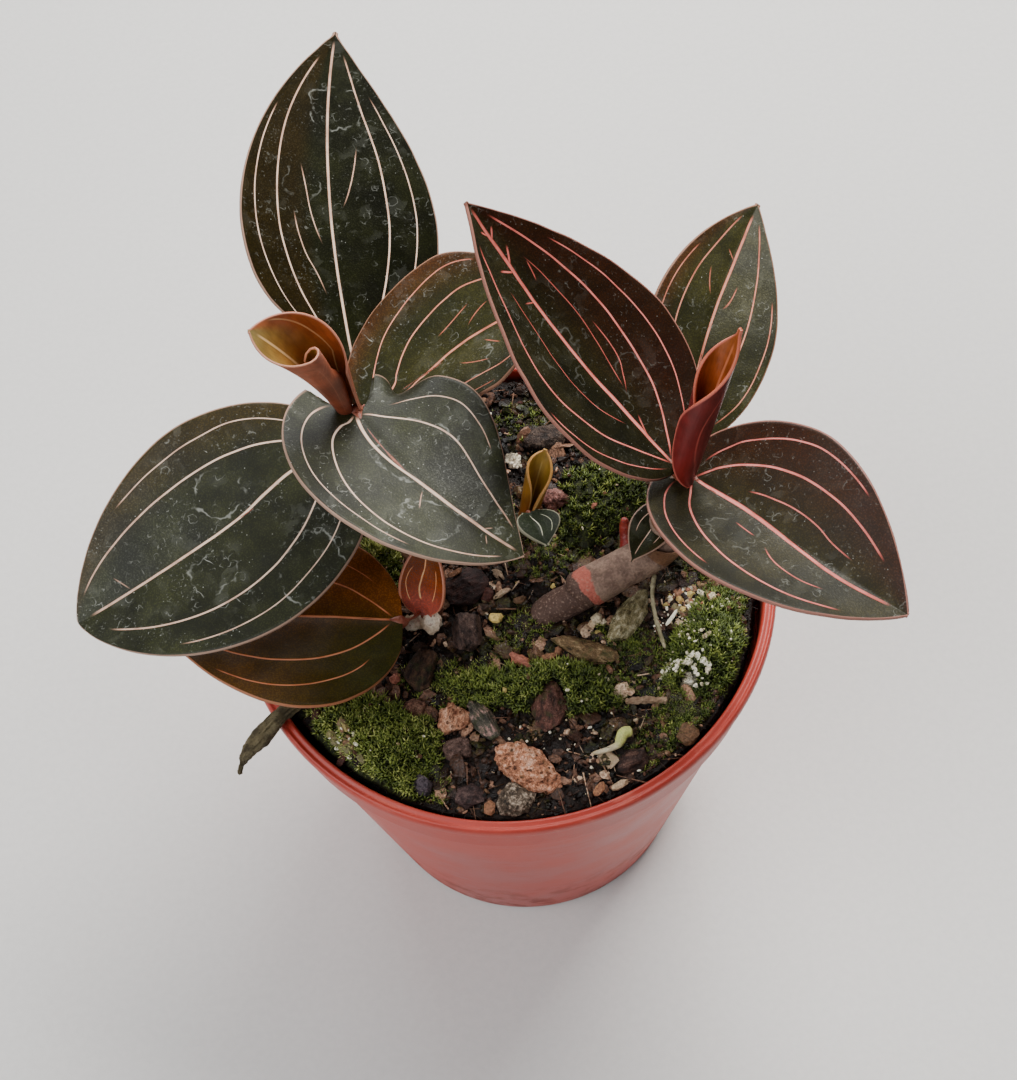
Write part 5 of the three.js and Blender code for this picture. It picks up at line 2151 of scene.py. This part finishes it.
@dataclass
class Chips:
    """The larger chips of bark, fired clay, stone and perlite that stand on the soil."""

    edge: float = 0.5
    cuts: int = 9
    sharp_from: float = 26.0

    def build(self) -> None:
        """Make every chip from its solid."""
        for i, node in enumerate(CHIP_NODES):
            slot = node.split("_")[0]
            finish = CHIP_FINISHES.get(node, FAMILY_FINISHES[slot])
            shape = node_copy(node)
            rounder = slot in ("clay", "perlite")
            hewn(shape, self.cuts, 31 + i, (0.74, 0.96) if rounder else (0.6, 0.95))
            rough = ((2.4, 0.55), (0.7, 0.22)) if rounder else ((1.2, 0.16), (0.4, 0.12))
            if slot == "perlite":
                rough = ((1.3, 0.9), (0.5, 0.35))
            roughen(shape, self.edge, rough, 20.0 * i, 0.35 if slot == "perlite" else 0.0)
            piece = make_piece(f"{node}_chip", shape, finish.material(node))
            piece.data.set_sharp_from_angle(angle=radians(self.sharp_from))
            settle(piece, slot, node)


@dataclass(frozen=True)
class Drift:
    """A thin patch of moss on the open soil: its middle, its reach, its turn and its shoots."""

    at: Pair
    reach: Pair
    turn: float
    shoots: int


@dataclass
class MossCarpet:
    """Moss: low cushions and thin drifts, all of short leafy shoots."""

    ground: Ground
    leaflets: int = 7
    spacing: float = 0.46
    tone: float = 0.37
    spread: float = 0.25
    # Painted shade: how much darker the shoots get for each millimetre towards +X, the right, where the
    # key light falls more strongly.
    fall: float = 0.006
    sunk: float = 0.25
    seed: int = 29
    cushion_shoot: float = 2.0
    drift_shoot: float = 1.5
    back_share: float = 0.3
    drifts: tuple[Drift, ...] = (
        Drift((-11, -17), (9, 4.5), -20, 420),
        Drift((-22, -30), (13, 5), -35, 520),
        Drift((-4, -17), (9, 4), 10, 380),
        Drift((12, -20), (10, 4.5), -15, 520),
        Drift((20, -14), (8, 4), -30, 300),
        Drift((28, -24), (8, 6), 50, 480),
        Drift((24, -30), (8, 5), 35, 260),
        Drift((35, -2), (5, 9), 10, 420),
        Drift((24, 8), (11, 8), 40, 110),
        Drift((8, 6), (8, 6), 0, 220),
        Drift((-5, 14), (8, 7), 20, 300),
        Drift((-30, 0), (8, 12), 10, 560),
        Drift((4, 33), (14, 5), 0, 110),
        Drift((-20, 25), (11, 9), 30, 520),
        Drift((2, -8), (6, 4), 20, 120),
        Drift((-36, -12), (5, 8), 20, 240),
    )

    def shoot(self) -> Shape:
        """Make one shoot, a unit high: pointed leaflets round a short stem.

        Returns:
            The shoot.
        """
        tuft = bmesh.new()
        for i in range(self.leaflets):
            share = i / (self.leaflets - 1)
            lean = radians(72.0 - 56.0 * share)
            turn = i * radians(137.5)
            way = Matrix.Rotation(turn, 4, "Z") @ Matrix.Rotation(lean, 4, "Y")
            thin = Matrix.Diagonal((1.0, 0.5, 1.0, 1.0)) @ Matrix.Translation((0.0, 0.0, 0.3))
            bmesh.ops.create_cone(
                tuft, cap_ends=True, segments=3, radius1=0.13, radius2=0.004, depth=0.66,
                matrix=Matrix.Translation((0.0, 0.0, 0.04 + 0.32 * share)) @ way @ thin,
            )
        bmesh.ops.remove_doubles(tuft, verts=tuft.verts[:], dist=0.01)
        return tuft

    @staticmethod
    def finish() -> Material:
        """Make moss green: painted shade that darkens the feet, bright tips, and a tone of its own for
        each shoot.

        Returns:
            The material.
        """
        sheet = Sheet("moss_shoot")
        tone = sheet.attribute("tone")
        rise = sheet.attribute("rise")
        broad = sheet.grain(4.0, 3.0)
        stops = (
            (0.0, (36, 46, 14)), (0.3, (86, 102, 32)), (0.6, (136, 148, 60)), (0.85, (200, 202, 112)),
            (1.0, (236, 224, 164)),
        )
        colour = sheet.ramp(tone * 0.62 + (broad - 0.5) * 0.5 + rise * 0.3, stops)
        # Painted shade: each shoot darkens towards its foot, deep in the cushion.
        colour = sheet.shade(colour, rise.smooth(0.0, 0.75, 0.12, 0.96))
        return sheet.finish(colour, 0.45, None, 0.1, gloss=0.4)

    def _stamp(self, place: Vector, normal: Vector, draw: Chance, size: float) -> Stamp:
        """Set one shoot down.

        Args:
            place: Its foot.
            normal: The ground under it.
            draw: The random numbers.
            size: Its height in millimetres.

        Returns:
            Its stamp.
        """
        up = (normal * 0.6 + UP * 0.5 + draw.way() * 0.45).normalized()
        high = size * draw.uniform(0.7, 1.3) * MM
        wide = high * draw.uniform(0.85, 1.15)
        # Painted shade: shoots towards the right (+X) get a darker tone.
        tone = draw.tone(self.tone - self.fall * place.x / MM, self.spread)
        return Stamp(place - up * self.sunk * MM, up, draw.turn(), Vector((wide, wide, high)), tone)

    def _cushion(self, node: str, finish: Material, bed: Material, draw: Chance) -> None:
        """Make one cushion: its dark bed and the shoots on it.

        Args:
            node: The solid that it stands for.
            finish: The finish of the shoots.
            bed: The finish of the bed.
            draw: The random numbers.
        """
        shape = node_copy(node)
        roughen(shape, 1.2, ((2.4, 0.35), (0.8, 0.15)), 5.0)
        settle(make_piece(f"{node}_bed", shape, bed), "moss", node)
        low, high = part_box(node)
        tree = ground_tree([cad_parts[node].data])
        stamps = []
        area = (high.x - low.x) * (high.y - low.y) / MM ** 2
        thinned = self.back_share if node == "moss_back" else 1.0
        for _ in range(int(thinned * area / self.spacing ** 2)):
            x, y = draw.uniform(low.x, high.x), draw.uniform(low.y, high.y)
            place, normal, _, _ = tree.ray_cast(Vector((x, y, DROP_FROM * MM)), -UP, DROP_REACH * MM)
            covered = self.ground.under(self.ground.props, x / MM, y / MM)
            if place is None or (covered is not None and covered[0].z > place.z):
                continue
            if hypot(place.x, place.y) > (OPEN_SOIL + 0.2) * MM:
                continue
            stamps.append(self._stamp(place, normal, draw, self.cushion_shoot))
        mesh = stamped(f"{node}_shoots", self.shoot(), stamps, smooth=True)
        settle(piece_of(f"{node}_shoots", mesh, finish), "moss")

    def _drift(self, drift: Drift, draw: Chance) -> list[Stamp]:
        """Plant one thin patch.

        Args:
            drift: The patch.
            draw: The random numbers.

        Returns:
            A stamp for each shoot.
        """
        stamps = []
        for _ in range(int(1.25 * drift.shoots)):
            x, y = draw.place(drift.at, drift.reach, radians(drift.turn), 0.7)
            landed = self.ground.drop(x, y) if hypot(x, y) < OPEN_SOIL else None
            if landed is not None:
                stamps.append(self._stamp(*landed, draw, self.drift_shoot))
        return stamps

    def build(self) -> None:
        """Make all the moss."""
        finish = self.finish()
        stops = ((0.3, (16, 17, 6)), (0.5, (38, 44, 10)), (0.7, (72, 78, 20)))
        sheet = Sheet("moss_bed")
        fine = sheet.grain(0.5, 5.0)
        bed = sheet.finish(sheet.ramp(fine, stops), 0.8, fine, 0.4)
        draw = Chance(self.seed)
        for node in MOSS_NODES:
            self._cushion(node, finish, bed, draw)
        stamps = [stamp for drift in self.drifts for stamp in self._drift(drift, draw)]
        mesh = stamped("moss_drifts", self.shoot(), stamps, smooth=True)
        settle(piece_of("moss_drifts", mesh, finish), "moss")


@dataclass(frozen=True)
class Spill:
    """A scatter of small pale bits: its middle, its reach, how many and their sizes."""

    at: Pair
    reach: Pair
    count: int
    sizes: Pair
    tone: float
    spread: float


@dataclass(frozen=True)
class Bit:
    """One small listed thing: its place, its length, width and height, its turn and its tone."""

    at: Pair
    size: Point
    turn: float
    tone: float


PLUM, CLARET, TAN, OCHRE, LICHEN, SALMON, WHITE = 0.0, 0.18, 0.4, 0.58, 0.68, 0.78, 1.0


@dataclass
class Litter:
    """Small loose bits: white grit, pale slivers and a few coloured crumbs."""

    ground: Ground
    seed: int = 47
    fineness: float = 1.6
    lift: float = 0.3
    moss_lift: float = 1.1
    spills: tuple[Spill, ...] = (
        Spill((26, -18.4), (2.6, 1.6), 26, (0.5, 1.2), 1, 0.03),
        Spill((29, -20.6), (2.4, 3), 34, (0.5, 1.4), 1, 0.03),
        Spill((31, -12), (7, 7), 60, (0.25, 0.8), 0.97, 0.04),
        Spill((30.5, -6), (4.6, 2.8), 90, (0.5, 1.9), 0.84, 0.2),
        Spill((27, -10.5), (3.6, 3), 40, (0.3, 0.9), 0.97, 0.04),
        Spill((0, 0), (40, 40), 150, (0.25, 0.65), 0.95, 0.06),
        Spill((0, 0), (40, 40), 150, (0.6, 1.6), 0.3, 0.2),
        Spill((14, -26), (10, 8), 20, (0.4, 0.9), 0.96, 0.06),
        # White specks at the left rim that paint the glints on the debris there: painted highlights.
        Spill((-29.5, -27.5), (3, 4), 40, (0.3, 0.9), 0.97, 0.04),
        Spill((-29.6, -27), (2.2, 4.6), 60, (0.5, 1.7), 0.68, 0.03),
        Spill((16, -36), (8, 4), 30, (0.3, 0.9), 0.9, 0.1),
        Spill((-6, -30), (14, 6), 14, (0.4, 0.8), 0.9, 0.1),
        # Bits at the back, given a dark tone as painted shade under the leaves there.
        Spill((10, 30), (16, 7), 12, (0.6, 1.8), 0.3, 0.3),
        Spill((-20, 20), (14, 12), 20, (0.8, 2.4), 0.4, 0.3),
    )
    bits: tuple[Bit, ...] = (
        Bit((-2.5, -6), (2.3, 2.1, 2), 0, OCHRE),
        Bit((0.7, -14.9), (4.8, 1.15, 0.9), -40, SALMON),
        Bit((5.5, -14), (3, 1.5, 1.1), 10, 0.46),
        Bit((7.2, -13.2), (1.8, 1.2, 1), 60, 0.46),
        Bit((3.3, -15.6), (1.3, 1, 0.9), 20, WHITE),
        Bit((14.2, -8.2), (2.4, 1.8, 1.6), 20, 0.9),
        Bit((13.2, -8.9), (1.6, 1.5, 1.2), 70, 0.86),
        Bit((15.2, -8.7), (1.5, 1.1, 1), 50, 0.93),
        Bit((26.6, -9.3), (3.4, 0.8, 0.7), 50, WHITE),
        Bit((27.6, -11.4), (1.3, 0.9, 0.7), 10, WHITE),
        Bit((24, -19.6), (3.2, 0.9, 0.7), 45, 0.97),
        Bit((25, -18.2), (1.8, 1, 0.8), 60, 0.84),
        Bit((31.5, -14.6), (1.8, 1.1, 0.9), 30, 0.88),
        Bit((26.2, -30.4), (5, 3.2, 1.4), 50, TAN),
        Bit((10.9, -38.2), (2.5, 1.6, 1.4), 50, 0.5),
        # A pale tone that paints the glint of a curved bit at the front rim: painted highlight.
        Bit((14.2, -37.8), (3.4, 1.2, 0.9), 20, 0.86),
        Bit((-30.4, -25.6), (2.6, 1.3, 1.3), -64, LICHEN),
        Bit((-28.3, -27.5), (3, 1.5, 1.5), -40, LICHEN),
        Bit((-26.2, -29.3), (2.5, 1.3, 1.3), -66, LICHEN),
        Bit((-34.6, -18.6), (2.6, 2, 1.6), 20, PLUM),
        Bit((-33.2, -20.6), (2.2, 1.7, 1.5), 80, CLARET),
        Bit((-6.6, -39.4), (2.8, 1.8, 1.2), 70, 0.46),
        Bit((-29.2, -28.4), (3.4, 1.6, 1.2), 60, CLARET),
        Bit((-26.8, -29.7), (3.6, 1.4, 1.2), -60, PLUM),
        Bit((-8.6, 2.6), (2.6, 1.2, 1), 30, 0.46),
        Bit((-3.6, -1.5), (3, 2.2, 1.2), 70, CLARET),
        Bit((1.8, -3), (2.2, 1.6, 1.2), 10, TAN),
        Bit((-20, -15), (2.6, 1.6, 1.2), 30, SALMON),
    )

    def _spilt(self, spill: Spill, draw: Chance) -> list[Stamp]:
        """Throw the bits of one scatter.

        Args:
            spill: The scatter.
            draw: The random numbers.

        Returns:
            A stamp for each bit.
        """
        stamps = []
        for _ in range(spill.count):
            x, y = draw.place(spill.at, spill.reach)
            landed = self.ground.drop(x, y, on_moss=True) if hypot(x, y) < OPEN_SOIL + 0.1 else None
            if landed is None:
                continue
            size = draw.size(spill.sizes, self.fineness) * MM
            shape = Vector((size, size * draw.uniform(0.5, 0.9), size * draw.uniform(0.35, 0.8)))
            tone = draw.tone(spill.tone, spill.spread)
            high = self.moss_lift if self.ground.drop(x, y) is None else self.lift
            lean = (landed[1] + draw.way() * 0.6).normalized()
            stamps.append(Stamp(landed[0] + UP * (high * MM), lean, draw.turn(), shape, tone))
        return stamps

    def build(self) -> None:
        """Make the litter."""
        draw = Chance(self.seed)
        stamps = [stamp for spill in self.spills for stamp in self._spilt(spill, draw)]
        for bit in self.bits:
            place, normal = self.ground.drop(*bit.at, on_moss=True, on_props=True)
            size = Vector(bit.size) * MM
            lean = (normal + UP * 1.5 + draw.way() * 0.4).normalized()
            stamps.append(
                Stamp(
                    place + UP * (0.35 * size.z + self.lift * MM), lean, radians(bit.turn), size,
                    bit.tone,
                )
            )
        stops = (
            (PLUM, (26, 14, 12)), (CLARET, (70, 36, 28)), (TAN, (96, 70, 48)), (0.5, (148, 100, 72)),
            (OCHRE, (214, 186, 110)), (LICHEN, (122, 116, 84)), (SALMON, (164, 98, 80)),
            (0.88, (186, 166, 132)), (0.95, (232, 218, 188)), (WHITE, (252, 244, 222)),
        )
        finish = CrumbFinish("loose_bit", stops, rough=0.75, wet=0.15, blotch=0.06).material()
        for name, seed, cuts in (("loose_bits", 21, 8), ("loose_slivers", 5, 4)):
            half = stamps[::2] if name == "loose_bits" else stamps[1::2]
            mesh = stamped(name, splinter(seed, cuts), half, smooth=False)
            settle(piece_of(name, mesh, finish), "perlite")


# ---- the studio ----


@dataclass(frozen=True)
class Softbox:
    """A square lamp: its place in millimetres, its side, its power in watts and its tint."""

    name: str
    place: Point
    side: float
    power: float
    tint: Point = (1.0, 1.0, 1.0)


@dataclass
class Studio:
    """The pale floor, the soft light and the camera, which looks down on the pot."""

    eye: Point = (0.0, -138.7, 329.5)
    yaw: float = 0.4
    dip: float = 59.65
    bank: float = -5.87
    focal_pixels: float = 1700.0
    image_height: float = 1080.0
    film_height: float = 36.0
    target: Point = (0.0, 0.0, 80.0)
    room_light: float = 0.26
    floor_reach: float = 3000.0
    boxes: tuple[Softbox, ...] = (
        Softbox("key_light", (200.0, 300.0, 560.0), 380.0, 6.0, (1.0, 0.98, 0.95)),
        Softbox("fill_light", (-380.0, -220.0, 500.0), 440.0, 2.8, (0.96, 0.98, 1.0)),
        Softbox("back_light", (-60.0, 560.0, 300.0), 340.0, 1.6),
    )

    def _camera(self) -> None:
        """Set the camera up."""
        yaw, dip, bank = (radians(angle) for angle in (self.yaw, self.dip, self.bank))
        ahead = Vector((sin(yaw) * cos(dip), cos(yaw) * cos(dip), -sin(dip)))
        right = Vector((cos(yaw), -sin(yaw), 0.0))
        up = right.cross(ahead)
        turned_right = right * cos(bank) + up * sin(bank)
        turned_up = up * cos(bank) - right * sin(bank)
        lens = bpy.data.cameras.new("camera")
        lens.sensor_fit = "VERTICAL"
        lens.sensor_height = self.film_height
        lens.lens = self.focal_pixels / self.image_height * self.film_height
        lens.clip_start = 0.01
        camera = bpy.data.objects.new("camera", lens)
        axes = Matrix((turned_right, turned_up, -ahead)).transposed()
        camera.matrix_world = Matrix.Translation(Vector(self.eye) * MM) @ axes.to_4x4()
        bpy.context.scene.collection.objects.link(camera)
        bpy.context.scene.camera = camera

    def _light(self) -> None:
        """Hang the softboxes and set the room's own light."""
        for box in self.boxes:
            lamp = bpy.data.lights.new(box.name, "AREA")
            lamp.shape = "SQUARE"
            lamp.size = box.side * MM
            lamp.energy = box.power
            lamp.color = box.tint
            hung = bpy.data.objects.new(box.name, lamp)
            place = Vector(box.place) * MM
            turned = (Vector(self.target) * MM - place).to_track_quat("-Z", "Y").to_matrix()
            hung.matrix_world = Matrix.Translation(place) @ turned.to_4x4()
            bpy.context.scene.collection.objects.link(hung)
        world = bpy.data.worlds.new("room")
        world.use_nodes = True
        room = world.node_tree.nodes["Background"]
        room.inputs["Color"].default_value = (0.92, 0.94, 1.0, 1.0)
        room.inputs["Strength"].default_value = self.room_light
        bpy.context.scene.world = world

    def _floor(self) -> None:
        """Lay the floor."""
        plane = bmesh.new()
        bmesh.ops.create_grid(plane, x_segments=1, y_segments=1, size=self.floor_reach * MM)
        sheet = Sheet("floor_paper")
        fine = sheet.grain(1.5, 4.0)
        colour = sheet.shade((228, 226, 222), fine.smooth(0.3, 0.7, 0.98, 1.02))
        floor = make_piece("floor", plane, sheet.finish(colour, 0.75, fine, 0.05))
        floor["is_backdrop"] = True

    def build(self) -> None:
        """Make the studio."""
        self._camera()
        self._light()
        self._floor()


def main() -> None:
    """Build the studio, the pot, the plant and the ground, and work out both boxes."""
    logging.basicConfig(level=logging.INFO, format="%(name)s: %(message)s")
    Studio().build()
    NurseryPot().build()
    Orchid().build()
    Chips().build()
    props = [*(f"{node}_chip" for node in CHIP_NODES), *(rod.name for rod in (*RODS, *ROOT_NUBS))]
    ground = Ground(PottingMix.body().data, [bpy.data.objects[name].data for name in props])
    PottingMix(ground).build()
    MossCarpet(ground).build()
    Litter(ground).build()
    boxes = {"cad": CAD_BOX, "visual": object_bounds()}
    plain = {name: [list(corner) for corner in box] for name, box in boxes.items()}


if __name__ == "__main__":
    main()
